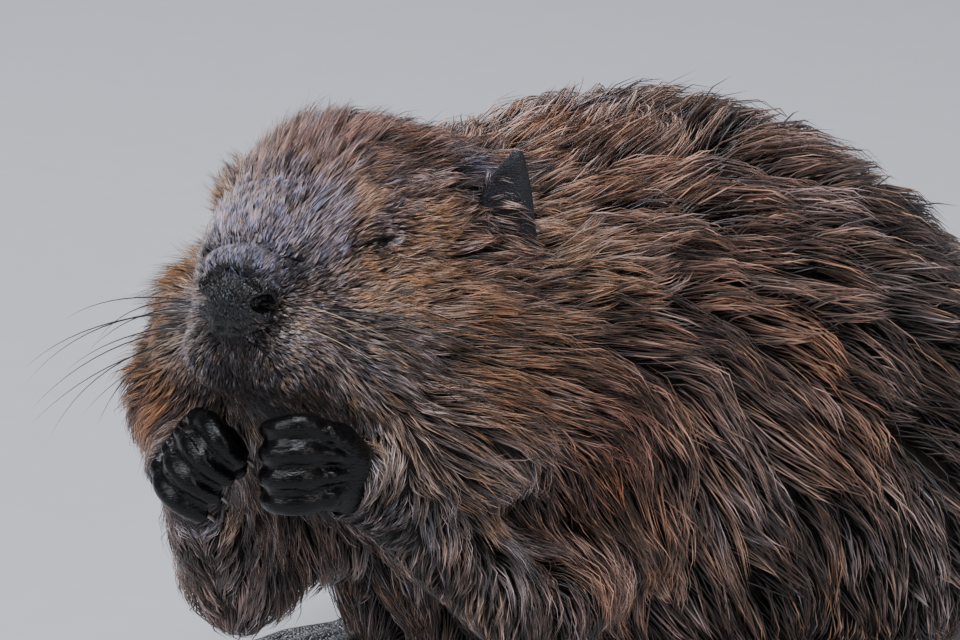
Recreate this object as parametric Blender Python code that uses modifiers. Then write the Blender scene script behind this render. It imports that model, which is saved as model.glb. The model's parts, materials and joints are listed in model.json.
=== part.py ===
"""A life-size, still beaver that crouches on the floor and holds its hands under its chin, as when it feeds.

Units are metres, +Z is up, the beaver faces -Y and its left side is +X. The origin is on the floor, under the
middle of the belly. The surfaces are those of the coat, out to the tips of its hairs; hands, feet, tail, nose
and ears are bare or nearly so.

The furred body is modelled like clay, from lofts, balls and bones that are fused and smoothed, and is then
parted with thin cuts. The bare parts are modelled one by one, and the clay is carved to take them.
"""

import math
from dataclasses import dataclass

import bmesh
import bpy
import numpy as np
from mathutils import Euler, Matrix, Vector

# Driving dimensions of the whole animal
NOSE = Vector((0.0, -0.300, 0.235))  # middle of the nose pad
EYE = Vector((0.0325, 0.0650, 0.0155))  # left eye, from the nose: out, behind, above
EYE_RADIUS = 0.0062
EAR = Vector((0.0560, 0.1370, 0.0160))  # foot of the left ear, from the nose
SHOULDER = Vector((0.068, -0.095, 0.118))
ELBOW = Vector((0.073, -0.162, 0.082))
WRIST = Vector((0.040, -0.262, 0.156))
THIGH = Vector((0.098, 0.090, 0.092))
THIGH_RADII = (0.058, 0.098, 0.084)
ANKLE = Vector((0.104, 0.075, 0.060))
HEEL = Vector((0.102, 0.090, 0.023))
TAIL_START = 0.315
TAIL_END = 0.600
TAIL_HALF_WIDTH = 0.064
TAIL_NECK = 0.030  # half its width where it leaves the fur
TAIL_WIDEST = 0.58  # of its length

# Where the body is parted: a point and the direction of its front side
HEAD_CUT = ((0, -0.146, 0.235), (0, -0.96, -0.28))
NECK_CUT = ((0, -0.100, 0.200), (0, -0.96, -0.24))
TAIL_ROOT_CUT = ((0, 0.262, 0.060), (0, -0.90, 0.44))

# How the clay is worked: edge of the voxels that fuse a shape, rounds of smoothing, triangles that are kept
FLOOR_DEPTH = 0.05
JOINT_GAP = 0.0004  # between neighbours
SLEEVE_SPARE = 0.006  # how far a foreleg reaches into the fur round it
THIGH_SPARE = 0.004
TAIL_STEPS = 24
FINGERS = 4
TOES = 5
SIDES = (("left", 1.0), ("right", -1.0))
HAND_TURNS = {"left": (0, 0, 0), "right": (-10, 34, 0)}  # degrees about X, Y and Z, at the wrist

COAT = ("coat", (0.20, 0.105, 0.055), 0.65)
BARE_SKIN = ("bare_skin", (0.022, 0.020, 0.022), 0.35)
TAIL_SKIN = ("tail_skin", (0.060, 0.052, 0.050), 0.45)
HORN = ("claw_horn", (0.075, 0.048, 0.036), 0.30)
EYEBALL = ("eyeball", (0.010, 0.007, 0.006), 0.08)


@dataclass(frozen=True)
class Grain:
    """How finely a fused shape is worked."""

    voxel: float
    smoothing: int
    triangles: int


BODY_GRAIN = Grain(0.0045, 10, 2120)
CUTTER_GRAIN = Grain(0.0055, 2, 100)
NOSE_GRAIN = Grain(0.0012, 4, 200)
EAR_GRAIN = Grain(0.0009, 3, 130)
HAND_GRAIN = Grain(0.0014, 3, 270)
FOOT_GRAIN = Grain(0.0020, 2, 270)
TAIL_GRAIN = Grain(0.0028, 4, 240)


@dataclass(frozen=True)
class ClawSize:
    """Length, width, depth and how far the tip bends down."""

    length: float
    width: float
    depth: float
    droop: float


HAND_CLAW = ClawSize(0.0120, 0.0044, 0.0036, 0.0020)
FOOT_CLAW = ClawSize(0.0185, 0.0078, 0.0050, 0.0030)


@dataclass(frozen=True)
class Slice:
    """An upright cross-section of the body at one place along Y."""

    y: float
    top: float
    bottom: float
    half_width: float
    widest: float  # height at which it is widest


# Skull and muzzle, measured from the middle of the nose pad: y runs back along the head
SKULL_SLICES = (
    Slice(0.012, 0.012, -0.032, 0.014, -0.008),
    Slice(0.019, 0.024, -0.044, 0.026, -0.010),
    Slice(0.032, 0.037, -0.051, 0.035, -0.008),
    Slice(0.052, 0.049, -0.058, 0.038, 0.000),
    Slice(0.072, 0.058, -0.064, 0.043, 0.004),
    Slice(0.095, 0.063, -0.071, 0.050, 0.004),
    Slice(0.120, 0.062, -0.080, 0.056, 0.000),
    Slice(0.145, 0.055, -0.090, 0.060, -0.010),
    Slice(0.175, 0.045, -0.104, 0.068, -0.025),
    Slice(0.200, 0.038, -0.110, 0.076, -0.034),
)

# Cheeks and the ruff that hangs behind them, from the same place
JOWL_SLICES = (
    Slice(0.030, -0.002, -0.046, 0.034, -0.022),
    Slice(0.045, 0.006, -0.057, 0.050, -0.024),
    Slice(0.060, 0.010, -0.066, 0.066, -0.028),
    Slice(0.080, 0.013, -0.079, 0.085, -0.038),
    Slice(0.105, 0.014, -0.096, 0.099, -0.052),
    Slice(0.130, 0.012, -0.110, 0.104, -0.062),
    Slice(0.155, 0.006, -0.121, 0.106, -0.070),
    Slice(0.180, -0.002, -0.128, 0.106, -0.077),
    Slice(0.200, -0.014, -0.128, 0.098, -0.082),
)

# Neck, trunk and rump, measured in the frame of the whole animal
TRUNK_SLICES = (
    Slice(-0.185, 0.258, 0.122, 0.074, 0.180),
    Slice(-0.150, 0.271, 0.098, 0.100, 0.166),
    Slice(-0.110, 0.271, 0.070, 0.113, 0.158),
    Slice(-0.070, 0.268, 0.032, 0.121, 0.150),
    Slice(-0.030, 0.266, -0.004, 0.130, 0.142),
    Slice(0.010, 0.267, -0.008, 0.138, 0.132),
    Slice(0.050, 0.267, -0.008, 0.145, 0.124),
    Slice(0.090, 0.262, -0.008, 0.150, 0.115),
    Slice(0.130, 0.248, -0.008, 0.149, 0.108),
    Slice(0.170, 0.226, -0.008, 0.141, 0.100),
    Slice(0.205, 0.196, -0.008, 0.124, 0.090),
    Slice(0.235, 0.161, -0.007, 0.101, 0.078),
    Slice(0.265, 0.119, -0.006, 0.074, 0.060),
    Slice(0.295, 0.080, -0.005, 0.051, 0.041),
    Slice(0.330, 0.050, -0.004, 0.036, 0.026),
    Slice(0.350, 0.030, -0.002, 0.022, 0.016),
)


def clear_scene():
    """Removes every object of the startup scene."""
    for obj in list(bpy.data.objects):
        bpy.data.objects.remove(obj)


def collection_named(name):
    """Makes a collection in the scene."""
    collection = bpy.data.collections.new(name)
    bpy.context.scene.collection.children.link(collection)
    return collection


def finish_named(name, colour, roughness):
    """Makes a plain material of one colour and roughness."""
    material = bpy.data.materials.new(name)
    material.use_nodes = True
    shader = material.node_tree.nodes["Principled BSDF"]
    shader.inputs["Base Color"].default_value = (*colour, 1.0)
    shader.inputs["Roughness"].default_value = roughness
    shader.inputs["Metallic"].default_value = 0.0
    return material


def object_from(bm, name):
    """Turns a bmesh into an object in the workshop, and frees it."""
    bmesh.ops.recalc_face_normals(bm, faces=bm.faces[:])
    mesh = bpy.data.meshes.new(name)
    bm.to_mesh(mesh)
    bm.free()
    obj = bpy.data.objects.new(name, mesh)
    WORKSHOP.objects.link(obj)
    return obj


def baked(obj):
    """Replaces obj by a plain object that holds its evaluated mesh."""
    name = obj.name
    bpy.context.view_layer.update()
    graph = bpy.context.evaluated_depsgraph_get()
    mesh = bpy.data.meshes.new_from_object(obj.evaluated_get(graph))
    mesh.transform(obj.matrix_world)
    bpy.data.objects.remove(obj)
    made = bpy.data.objects.new(name, mesh)
    WORKSHOP.objects.link(made)
    return made


def copy_of(obj):
    """A copy of obj with a mesh of its own."""
    made = obj.copy()
    made.data = obj.data.copy()
    WORKSHOP.objects.link(made)
    return made


def smooth_between(values, t):
    """Catmull-Rom value at t, in steps of one from the first of values to the last."""
    last = len(values) - 1
    k = min(int(t), last - 1)
    u = t - k
    p0, p1, p2, p3 = (values[min(max(i, 0), last)] for i in range(k - 1, k + 3))
    return p1 + 0.5 * u * (
        p2 - p0 + u * (2 * p0 - 5 * p1 + 4 * p2 - p3 + u * (3 * (p1 - p2) + p3 - p0))
    )


def loft(name, slices, around=36, between=5, upper=2.1, lower=2.3, origin=Vector((0, 0, 0))):
    """A closed tube through slices; upper and lower say how square it is above and below its widest."""
    rows = np.array([[s.y, s.top, s.bottom, s.half_width, s.widest] for s in slices])
    steps = (len(rows) - 1) * between
    bm = bmesh.new()
    rings = []
    for i in range(steps + 1):
        y, top, bottom, half_width, widest = smooth_between(rows, i / between)
        ring = []
        for k in range(around):
            turn = 2 * math.pi * k / around
            c, s = math.cos(turn), math.sin(turn)
            rise, squareness = (top - widest, upper) if s > 0 else (widest - bottom, lower)
            x = half_width * math.copysign(abs(c) ** (2 / squareness), c)
            z = widest + rise * math.copysign(abs(s) ** (2 / squareness), s)
            ring.append(bm.verts.new(Vector((x, y, z)) + origin))
        rings.append(ring)
    for ring, following in zip(rings, rings[1:]):
        for k in range(around):
            n = (k + 1) % around
            bm.faces.new((ring[k], ring[n], following[n], following[k]))
    bm.faces.new(rings[0])
    bm.faces.new(rings[-1])
    return object_from(bm, name)


def ball(name, centre, radii, turn=(0.0, 0.0, 0.0), fineness=20):
    """An ellipsoid of three radii, turned by angles in degrees about X, Y and Z."""
    rotation = Euler([math.radians(v) for v in turn]).to_matrix().to_4x4()
    size = Matrix.Diagonal((*radii, 1.0))
    bm = bmesh.new()
    bmesh.ops.create_uvsphere(
        bm, u_segments=fineness, v_segments=fineness * 2 // 3, radius=1.0,
        matrix=Matrix.Translation(centre) @ rotation @ size,
    )
    return object_from(bm, name)


def bone(name, ends, fineness=14):
    """The hull of balls at (centre, radius) ends: a rounded limb segment, or a web between several."""
    bm = bmesh.new()
    for centre, radius in ends:
        bmesh.ops.create_uvsphere(
            bm, u_segments=fineness, v_segments=fineness * 2 // 3, radius=radius,
            matrix=Matrix.Translation(centre),
        )
    bmesh.ops.delete(bm, geom=bm.edges[:], context="EDGES_FACES")
    bmesh.ops.convex_hull(bm, input=bm.verts[:])
    inside = [vert for vert in bm.verts if not vert.link_faces]
    bmesh.ops.delete(bm, geom=inside, context="VERTS")
    return object_from(bm, name)


def limb(name, joints):
    """Bones one after another through (centre, radius) joints."""
    return [bone(f"{name}_{i}", pair) for i, pair in enumerate(zip(joints, joints[1:]))]


def joined(objects, name):
    """One object that holds the meshes of several."""
    bm = bmesh.new()
    for obj in objects:
        bm.from_mesh(obj.data)
        bpy.data.objects.remove(obj)
    return object_from(bm, name)


def fused(objects, name, grain):
    """Fuses overlapping shapes into one skin, softens it and thins it out."""
    obj = joined(objects, name)
    remesh = obj.modifiers.new("fuse", "REMESH")
    remesh.mode = "VOXEL"
    remesh.voxel_size = grain.voxel
    soften = obj.modifiers.new("soften", "SMOOTH")
    soften.factor = 0.5
    soften.iterations = grain.smoothing
    obj = baked(obj)
    thin = obj.modifiers.new("thin", "DECIMATE")
    thin.ratio = min(1.0, grain.triangles / (2 * len(obj.data.polygons)))
    return baked(obj)


def combined(obj, tool, operation):
    """obj cut by the tool, or cut down to it; the tool is kept."""
    cut = obj.modifiers.new("cut", "BOOLEAN")
    cut.operation = operation
    cut.object = tool
    cut.solver = "EXACT"
    return baked(obj)


def swollen(obj, by):
    """A copy of obj that stands out by a little all round."""
    tool = copy_of(obj)
    swell = tool.modifiers.new("swell", "DISPLACE")
    swell.mid_level = 0.0
    swell.strength = by
    return baked(tool)


def carved(obj, tools):
    """obj with room made for each of the tools, and a gap round them."""
    for tool in tools:
        cutter = swollen(tool, JOINT_GAP)
        obj = combined(obj, cutter, "DIFFERENCE")
        bpy.data.objects.remove(cutter)
    return obj


def on_floor(obj):
    """obj cut flat where it would reach below the floor."""
    block = Matrix.Translation((0, 0, -FLOOR_DEPTH)) @ Matrix.Diagonal((1, 1, FLOOR_DEPTH, 1))
    bm = bmesh.new()
    bmesh.ops.create_cube(bm, size=2.0, matrix=block)
    floor = object_from(bm, "floor_block")
    obj = combined(obj, floor, "DIFFERENCE")
    bpy.data.objects.remove(floor)
    return obj


def half_space(name, point, outward):
    """A block that fills the side of a plane that outward points to."""
    turn = outward.to_track_quat("Z", "Y").to_matrix().to_4x4()
    block = Matrix.Translation((0, 0, 0.5)) @ Matrix.Diagonal((1.4, 1.4, 1, 1))
    bm = bmesh.new()
    bmesh.ops.create_cube(bm, size=1.0, matrix=Matrix.Translation(point) @ turn @ block)
    return object_from(bm, name)


def parted(obj, plane, front_name, back_name):
    """obj split by a plane (point, direction) into the piece on that side and the rest, a gap between."""
    point, outward = (Vector(part) for part in plane)
    step = outward.normalized() * JOINT_GAP / 2
    front_tool = half_space("front_tool", point + step, outward)
    back_tool = half_space("back_tool", point - step, -outward)
    front = combined(copy_of(obj), front_tool, "INTERSECT")
    back = combined(obj, back_tool, "INTERSECT")
    for tool in (front_tool, back_tool):
        bpy.data.objects.remove(tool)
    back.name = back_name
    front.name = front_name
    return front, back


def taken_out(obj, region, name):
    """The part of obj inside a region as a piece of its own, and obj without it."""
    piece = combined(copy_of(obj), region, "INTERSECT")
    piece.name = name
    return piece, carved(obj, [region])


def mirrored(point, side):
    """A point of the left half, on the side asked for."""
    return Vector((point[0] * side, point[1], point[2]))


def placer(origin, side, turn=(0, 0, 0)):
    """A function from (out, back, up), measured at a left-hand origin, to a place on one side of the body."""
    rotation = Euler([math.radians(angle) for angle in turn]).to_matrix()

    def place(out, back, up):
        """The place so far out from the middle, back and up from the origin."""
        return mirrored(origin, side) + rotation @ Vector((out * side, back, up))

    return place


def foreleg_joints(side, spare=0.0):
    """Shoulder, elbow and wrist of a foreleg under its fur, with spare thickness."""
    joints = ((SHOULDER, 0.038), (ELBOW, 0.027), (WRIST, 0.0155))
    return [(mirrored(place, side), radius + spare) for place, radius in joints]


def cuff(side):
    """A point and a direction: the plane where the fur of a foreleg ends and the bare hand begins."""
    forearm = (WRIST - ELBOW).normalized()
    way = mirrored(forearm + Vector((0, -1.2, 0)), side).normalized()
    return mirrored(WRIST, side) + way * 0.004, way


def haunch_lumps(side, spare=0.0):
    """The rounded mass of a thigh and knee, and the ankle under it."""
    radii = [radius + spare for radius in THIGH_RADII]
    heel = HEEL + Vector((0, 0, 0.006))
    return [
        ball("thigh", mirrored(THIGH, side), radii, (-14, 0, 0), fineness=28),
        bone("ankle", [(mirrored(ANKLE, side), 0.034 + spare), (mirrored(heel, side), 0.025 + spare)]),
    ]


def body_clay():
    """The whole furred body: head, neck, trunk, limbs down to wrist and ankle, and the root of the tail."""
    lumps = [
        loft("skull_mass", SKULL_SLICES, upper=2.2, origin=NOSE),
        loft("jowl_mass", JOWL_SLICES, upper=2.0, origin=NOSE),
        loft("trunk_mass", TRUNK_SLICES),
    ]
    for word, side in SIDES:
        at = placer(NOSE, side)
        shoulder = mirrored((0.078, -0.085, 0.150), side)
        lumps += [
            ball("lip_" + word, at(0.016, 0.021, -0.027), (0.016, 0.017, 0.018)),
            ball("cheek_" + word, at(0.041, 0.077, -0.032), (0.031, 0.048, 0.037)),
            ball("ruff_" + word, at(0.060, 0.098, -0.064), (0.038, 0.056, 0.038)),
            ball("brow_" + word, at(0.026, 0.072, 0.034), (0.016, 0.024, 0.015), (0, 20 * side, 0)),
            ball("shoulder_" + word, shoulder, (0.046, 0.062, 0.070)),
            *haunch_lumps(side),
            *limb("foreleg_" + word, foreleg_joints(side)),
        ]
    return on_floor(fused(lumps, "clay", BODY_GRAIN))


def nose_pad():
    """The bare nose: a blunt pad, a wing round each nostril, a roll of skin behind, and the nostrils."""
    at = placer(NOSE, 1.0)
    lumps = [
        ball("pad", at(0, 0.0125, -0.0010), (0.0180, 0.0130, 0.0160)),
        ball("roll", at(0, 0.0235, 0.0130), (0.0185, 0.0120, 0.0095), (-20, 0, 0)),
        ball("seam", at(0, 0.0080, -0.0150), (0.0060, 0.0080, 0.0100)),
    ]
    for word, side in SIDES:
        wing = placer(NOSE, side)(0.0125, 0.0115, 0.0005)
        lumps.append(ball("wing_" + word, wing, (0.0075, 0.0105, 0.0112), (0, 0, 20 * side)))
    pad = fused(lumps, "nose", NOSE_GRAIN)
    for _, side in SIDES:
        at = placer(NOSE, side)
        nostril = bone("nostril", [
            (at(0.0165, -0.0010, -0.0010), 0.0030),
            (at(0.0120, 0.0080, 0.0010), 0.0022),
            (at(0.0185, 0.0055, 0.0030), 0.0020),
        ], fineness=6)
        pad = combined(pad, nostril, "DIFFERENCE")
        bpy.data.objects.remove(nostril)
    return pad


def ear(word, side):
    """A small ear, broad at its foot and blunt at its tip; its cup opens forward and out."""
    at = placer(NOSE + EAR, side, (6, 4 * side, 24 * side))
    shell = bone("ear_" + word, [
        (at(-0.0080, 0.001, -0.0040), 0.0048),
        (at(0.0085, 0.001, -0.0040), 0.0048),
        (at(-0.0062, 0.000, 0.0120), 0.0042),
        (at(0.0062, 0.000, 0.0120), 0.0042),
        (at(-0.0005, 0.000, 0.0250), 0.0044),
    ])
    cup = bone("cup", [
        (at(-0.0050, -0.0052, 0.0020), 0.0032),
        (at(0.0055, -0.0052, 0.0020), 0.0032),
        (at(0.0000, -0.0050, 0.0090), 0.0046),
        (at(-0.0002, -0.0050, 0.0215), 0.0030),
    ])
    shell = combined(shell, cup, "DIFFERENCE")
    bpy.data.objects.remove(cup)
    return fused([shell], "ear_" + word, EAR_GRAIN)


def eye(word, side):
    """An eyeball, most of it behind its lids."""
    return ball("eye_" + word, mirrored(NOSE + EYE, side), (EYE_RADIUS,) * 3, fineness=8)


def lid_slit(word, side):
    """The narrow gap between the lids, long and low, cut down to the eyeball."""
    centre = placer(NOSE + EYE, side)(0.0080, -0.0010, 0.0005)
    return ball("slit_" + word, centre, (0.0070, 0.0072, 0.0015), (22, 0, 18 * side), fineness=8)


def claw(name, root, aim, size):
    """A tapered claw that bends down along its length; root is inside the toe."""
    around, steps = 5, 3
    forward = Vector(aim).normalized()
    across = forward.cross(Vector((0, 0, 1))).normalized()
    lift = across.cross(forward).normalized()
    bm = bmesh.new()
    rings = []
    for i in range(steps):
        t = i / steps
        centre = root + forward * size.length * t - lift * size.droop * t * t
        taper = math.sqrt(1 - t * t) / 2
        ring = []
        for k in range(around):
            turn = 2 * math.pi * k / around
            out = across * size.width * math.cos(turn) + lift * size.depth * math.sin(turn)
            ring.append(bm.verts.new(centre + out * taper))
        rings.append(ring)
    tip = bm.verts.new(root + forward * size.length - lift * size.droop)
    for k in range(around):
        n = (k + 1) % around
        for ring, following in zip(rings, rings[1:]):
            bm.faces.new((ring[k], ring[n], following[n], following[k]))
        bm.faces.new((rings[-1][k], rings[-1][n], tip))
    bm.faces.new(rings[0])
    return object_from(bm, name)


def hand(word, side):
    """A closed hand and its claws. The fingers lie one above another and curl in towards the other hand."""
    turn = HAND_TURNS[word]
    at = placer(WRIST, side, turn)
    aim = placer(Vector(), side, turn)(-0.25, 1.0, -0.10)
    lumps = [bone("palm", [
        (at(0.000, 0.006, 0.002), 0.0125),
        (at(-0.003, -0.014, 0.020), 0.0105),
        (at(-0.003, -0.014, 0.002), 0.0105),
    ])]
    claws = []
    for i in range(FINGERS):  # from the forefinger down to the little finger
        level = 0.0262 - 0.0098 * i
        reach = 0.0018 * (1.5 - abs(i - 1.5))
        radius = 0.0060 - 0.0003 * abs(i - 1)
        lumps += limb("finger", [
            (at(-0.001, -0.014, level), radius),
            (at(-0.006, -0.029 - reach, level + 0.0005), radius),
            (at(-0.018, -0.035 - reach, level - 0.0010), radius * 0.94),
            (at(-0.026, -0.027, level - 0.0020), radius * 0.78),
        ])
        tip = at(-0.0265, -0.0255, level - 0.0020)
        claws.append(claw(f"claw_{word}_hand_{i + 1}", tip, aim, HAND_CLAW))
    lumps += limb("thumb", [
        (at(-0.010, -0.008, 0.021), 0.0060),
        (at(-0.020, -0.016, 0.023), 0.0052),
        (at(-0.026, -0.019, 0.018), 0.0044),
    ])
    made = fused(lumps, "hand_" + word, HAND_GRAIN)
    made, stump = parted(made, cuff(side), "hand_" + word, "stump")
    bpy.data.objects.remove(stump)
    return carved(made, claws), claws


def hind_foot(word, side):
    """A long flat hind foot with webbed toes, and its nails."""
    at = placer((HEEL.x, HEEL.y, 0), side)
    lumps = [
        bone("sole", [
            (at(0.000, 0.000, 0.020), 0.021),
            (at(-0.010, -0.070, 0.012), 0.013),
            (at(0.016, -0.070, 0.012), 0.013),
        ]),
        bone("arch", [(at(0.000, 0.000, 0.026), 0.020), (at(0.002, -0.058, 0.020), 0.015)]),
    ]
    claws, rays = [], []
    for i in range(TOES):  # from the inner toe to the outer
        spread = math.radians(-17 + 12.5 * i)
        reach = 0.086 - 0.0045 * abs(i - 2) ** 1.6
        root = at(-0.014 + 0.0075 * i, -0.062, 0.011)
        way = Vector((math.sin(spread) * side, -math.cos(spread), 0))
        tip = root + way * reach - Vector((0, 0, 0.0035))
        lumps += limb("toe", [
            (root, 0.0105),
            (root + way * reach * 0.55 + Vector((0, 0, 0.0020)), 0.0078),
            (tip, 0.0062),
        ])
        rays.append([
            (root - Vector((0, 0, 0.006)), 0.0026),
            (root + way * reach * 0.86 - Vector((0, 0, 0.005)), 0.0026),
        ])
        start = tip + Vector((0, 0, 0.0010))
        claws.append(on_floor(claw(f"claw_{word}_foot_{i + 1}", start, way, FOOT_CLAW)))
    lumps += [bone("web", ray + beside, fineness=8) for ray, beside in zip(rays, rays[1:])]
    made = on_floor(fused(lumps, "hind_foot_" + word, FOOT_GRAIN))
    return carved(made, claws), claws


def tail_paddle():
    """The broad scaly tail, flat on the floor, thickest along its middle and rounded at its tip."""
    length = TAIL_END - TAIL_START
    slices = []
    for i in range(TAIL_STEPS + 1):
        t = i / TAIL_STEPS
        swell = math.sin(math.pi / 2 * min(1.0, t / TAIL_WIDEST)) ** 1.3
        past = max(0.0, t - TAIL_WIDEST) / (1 - TAIL_WIDEST)
        width = (TAIL_NECK + (TAIL_HALF_WIDTH - TAIL_NECK) * swell) * math.sqrt(1 - past ** 2.6)
        top = 0.034 * (1 - t) ** 1.1 + 0.0095
        slices.append(Slice(TAIL_START + length * t, top, -0.002, max(width, 0.008), top * 0.4))
    paddle = loft("paddle", slices, between=2, upper=1.9, lower=1.9)
    return on_floor(fused([paddle], "tail", TAIL_GRAIN))


def main_body(obj):
    """obj without the crumbs that a cut may leave beside its largest body."""
    bm = bmesh.new()
    bm.from_mesh(obj.data)
    left, bodies = set(bm.verts), []
    while left:
        body, edge = set(), [left.pop()]
        while edge:
            vert = edge.pop()
            body.add(vert)
            for link in vert.link_edges:
                other = link.other_vert(vert)
                if other in left:
                    left.discard(other)
                    edge.append(other)
        bodies.append(body)
    crumbs = set(bm.verts) - max(bodies, key=len)
    bmesh.ops.delete(bm, geom=list(crumbs), context="VERTS")
    bm.to_mesh(obj.data)
    bm.free()
    return obj


def limbs_off(body, feet):
    """Takes the forelegs and haunches off the body; returns them and the body without them."""
    limbs = []
    for (word, side), foot in zip(SIDES, feet):
        sleeve = fused(limb("sleeve", foreleg_joints(side, SLEEVE_SPARE)), "sleeve", CUTTER_GRAIN)
        foreleg, body = taken_out(body, sleeve, "foreleg_" + word)
        tip, foreleg = parted(foreleg, cuff(side), "tip", "foreleg_" + word)
        thigh = fused(haunch_lumps(side, THIGH_SPARE), "thigh", CUTTER_GRAIN)
        haunch, body = taken_out(body, thigh, "haunch_" + word)
        limbs += [foreleg, carved(haunch, [foot])]
        for tool in (sleeve, tip, thigh):
            bpy.data.objects.remove(tool)
    return limbs, body


def build():
    """Models every piece, parts the clay and returns (piece, finish) pairs."""
    nose = nose_pad()
    tail = tail_paddle()
    ears, eyes, slits, hands, feet, claws = [], [], [], [], [], []
    for word, side in SIDES:
        ears.append(ear(word, side))
        eyes.append(eye(word, side))
        slits.append(lid_slit(word, side))
        for make, made in ((hand, hands), (hind_foot, feet)):
            piece, nails = make(word, side)
            made.append(piece)
            claws += nails

    limbs, body = limbs_off(body_clay(), feet)
    head, body = parted(carved(body, feet), HEAD_CUT, "head", "body")
    neck, body = parted(body, NECK_CUT, "neck", "body")
    trunk, tail_root = parted(body, TAIL_ROOT_CUT, "trunk", "tail_root")
    tail_root = carved(tail_root, [tail])
    head = carved(head, [nose, *ears, *eyes, *hands])
    for slit in slits:
        head = combined(head, slit, "DIFFERENCE")
        bpy.data.objects.remove(slit)
    dressed = (
        (COAT, [head, neck, trunk, tail_root, *limbs]),
        (BARE_SKIN, [nose, *ears, *hands, *feet]),
        (HORN, claws),
        (EYEBALL, eyes),
        (TAIL_SKIN, [tail]),
    )
    return [(piece, finish) for finish, pieces in dressed for piece in pieces]


clear_scene()
WORKSHOP = collection_named("workshop")
BEAVER = collection_named("beaver")
for shape, look in build():
    main_body(shape)
    shape.data.materials.clear()
    shape.data.materials.append(bpy.data.materials.get(look[0]) or finish_named(*look))
    shape.data.shade_smooth()
    WORKSHOP.objects.unlink(shape)
    BEAVER.objects.link(shape)
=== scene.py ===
"""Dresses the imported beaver: one skin over all its flesh, a wet coat, whiskers, eyes, claws and scales.

Units are metres, +Z is up, the beaver faces -Y and its left side is +X. Every size below is in metres
unless its name says otherwise, and places on the body are measured from the middle of the nose pad as
(out, back, up).
"""

import json
import logging
import math
from dataclasses import astuple, dataclass, field
from enum import Enum

import bmesh
import bpy
import numpy as np
from bmesh.types import BMesh, BMVert
from bpy.types import Material, Mesh, Node, NodeSocket as Socket, Object, bpy_prop_collection
from mathutils import Euler, Matrix, Vector
from mathutils.bvhtree import BVHTree
from mathutils.kdtree import KDTree

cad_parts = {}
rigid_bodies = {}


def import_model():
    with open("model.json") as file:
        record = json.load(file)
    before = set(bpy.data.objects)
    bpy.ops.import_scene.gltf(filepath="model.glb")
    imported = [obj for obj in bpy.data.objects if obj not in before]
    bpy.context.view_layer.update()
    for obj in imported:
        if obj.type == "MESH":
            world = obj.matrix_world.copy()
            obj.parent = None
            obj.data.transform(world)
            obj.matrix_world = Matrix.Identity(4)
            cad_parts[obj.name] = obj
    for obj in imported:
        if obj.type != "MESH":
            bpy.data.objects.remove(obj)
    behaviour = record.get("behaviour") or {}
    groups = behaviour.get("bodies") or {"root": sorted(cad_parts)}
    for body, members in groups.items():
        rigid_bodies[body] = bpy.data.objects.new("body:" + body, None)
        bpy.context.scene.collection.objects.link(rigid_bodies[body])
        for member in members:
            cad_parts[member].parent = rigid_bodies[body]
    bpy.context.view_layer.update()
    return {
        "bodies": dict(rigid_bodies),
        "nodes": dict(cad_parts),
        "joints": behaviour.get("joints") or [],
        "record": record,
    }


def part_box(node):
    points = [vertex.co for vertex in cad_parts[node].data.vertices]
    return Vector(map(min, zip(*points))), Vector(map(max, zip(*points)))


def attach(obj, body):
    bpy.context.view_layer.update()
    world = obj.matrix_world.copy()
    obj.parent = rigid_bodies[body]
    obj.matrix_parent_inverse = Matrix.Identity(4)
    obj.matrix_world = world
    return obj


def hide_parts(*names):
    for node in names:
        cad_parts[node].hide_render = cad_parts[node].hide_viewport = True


LOG = logging.getLogger("beaver")
SIDES = (("left", 1.0), ("right", -1.0))
ROOT_BODY = "root"
BAKE_MAP = "OFBake"
UP = Vector((0.0, 0.0, 1.0))
NOSTRIL = (0.0152, 0.0068, -0.0012)  # from the middle of the pad, as (out, back, up)
LID_LENGTH = 0.0105  # from the middle of the bare lids to their ends
LID_HEIGHT = 0.0019
LID_BACK = -0.0008  # of the middle of the lids behind that of the eye
LID_THICKNESS = 0.0016
EYE_WAY = (0.80, -0.52, 0.28)  # out of the head, on the left
SLIT_WAY = (0.50, 0.80, 0.20)  # back and up along the slit between the lids
ROOT_TONE = np.array([0.0060, 0.0045, 0.0052])  # of black hairs, near the skin
ROOT_SHARE = 0.030  # of the colour of a hair's end that shows near the skin
WARMER = np.array([0.6, 0.0, -0.9])  # what makes a colour redder

Triple = tuple[float, float, float]
Pair = tuple[float, float]
Inputs = dict[str | int, object]  # a socket to wire up or a plain value, for each input of a node
Array = np.ndarray


class Zone(Enum):
    """The parts of the coat, each of which becomes pieces of its own."""

    FACE = "face"
    CROWN = "crown"
    CHEEK = "cheek"
    NECK = "neck"
    BACK = "back"
    FLANK = "flank"
    RUMP = "rump"
    LIMB = "limb"


# How many tufts lie over one another in each zone
COVER = {
    Zone.FACE: 3.3,
    Zone.CROWN: 4.3,
    Zone.CHEEK: 3.1,
    Zone.NECK: 3.4,
    Zone.BACK: 3.2,
    Zone.FLANK: 2.1,
    Zone.RUMP: 1.9,
    Zone.LIMB: 1.45,
}


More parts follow.
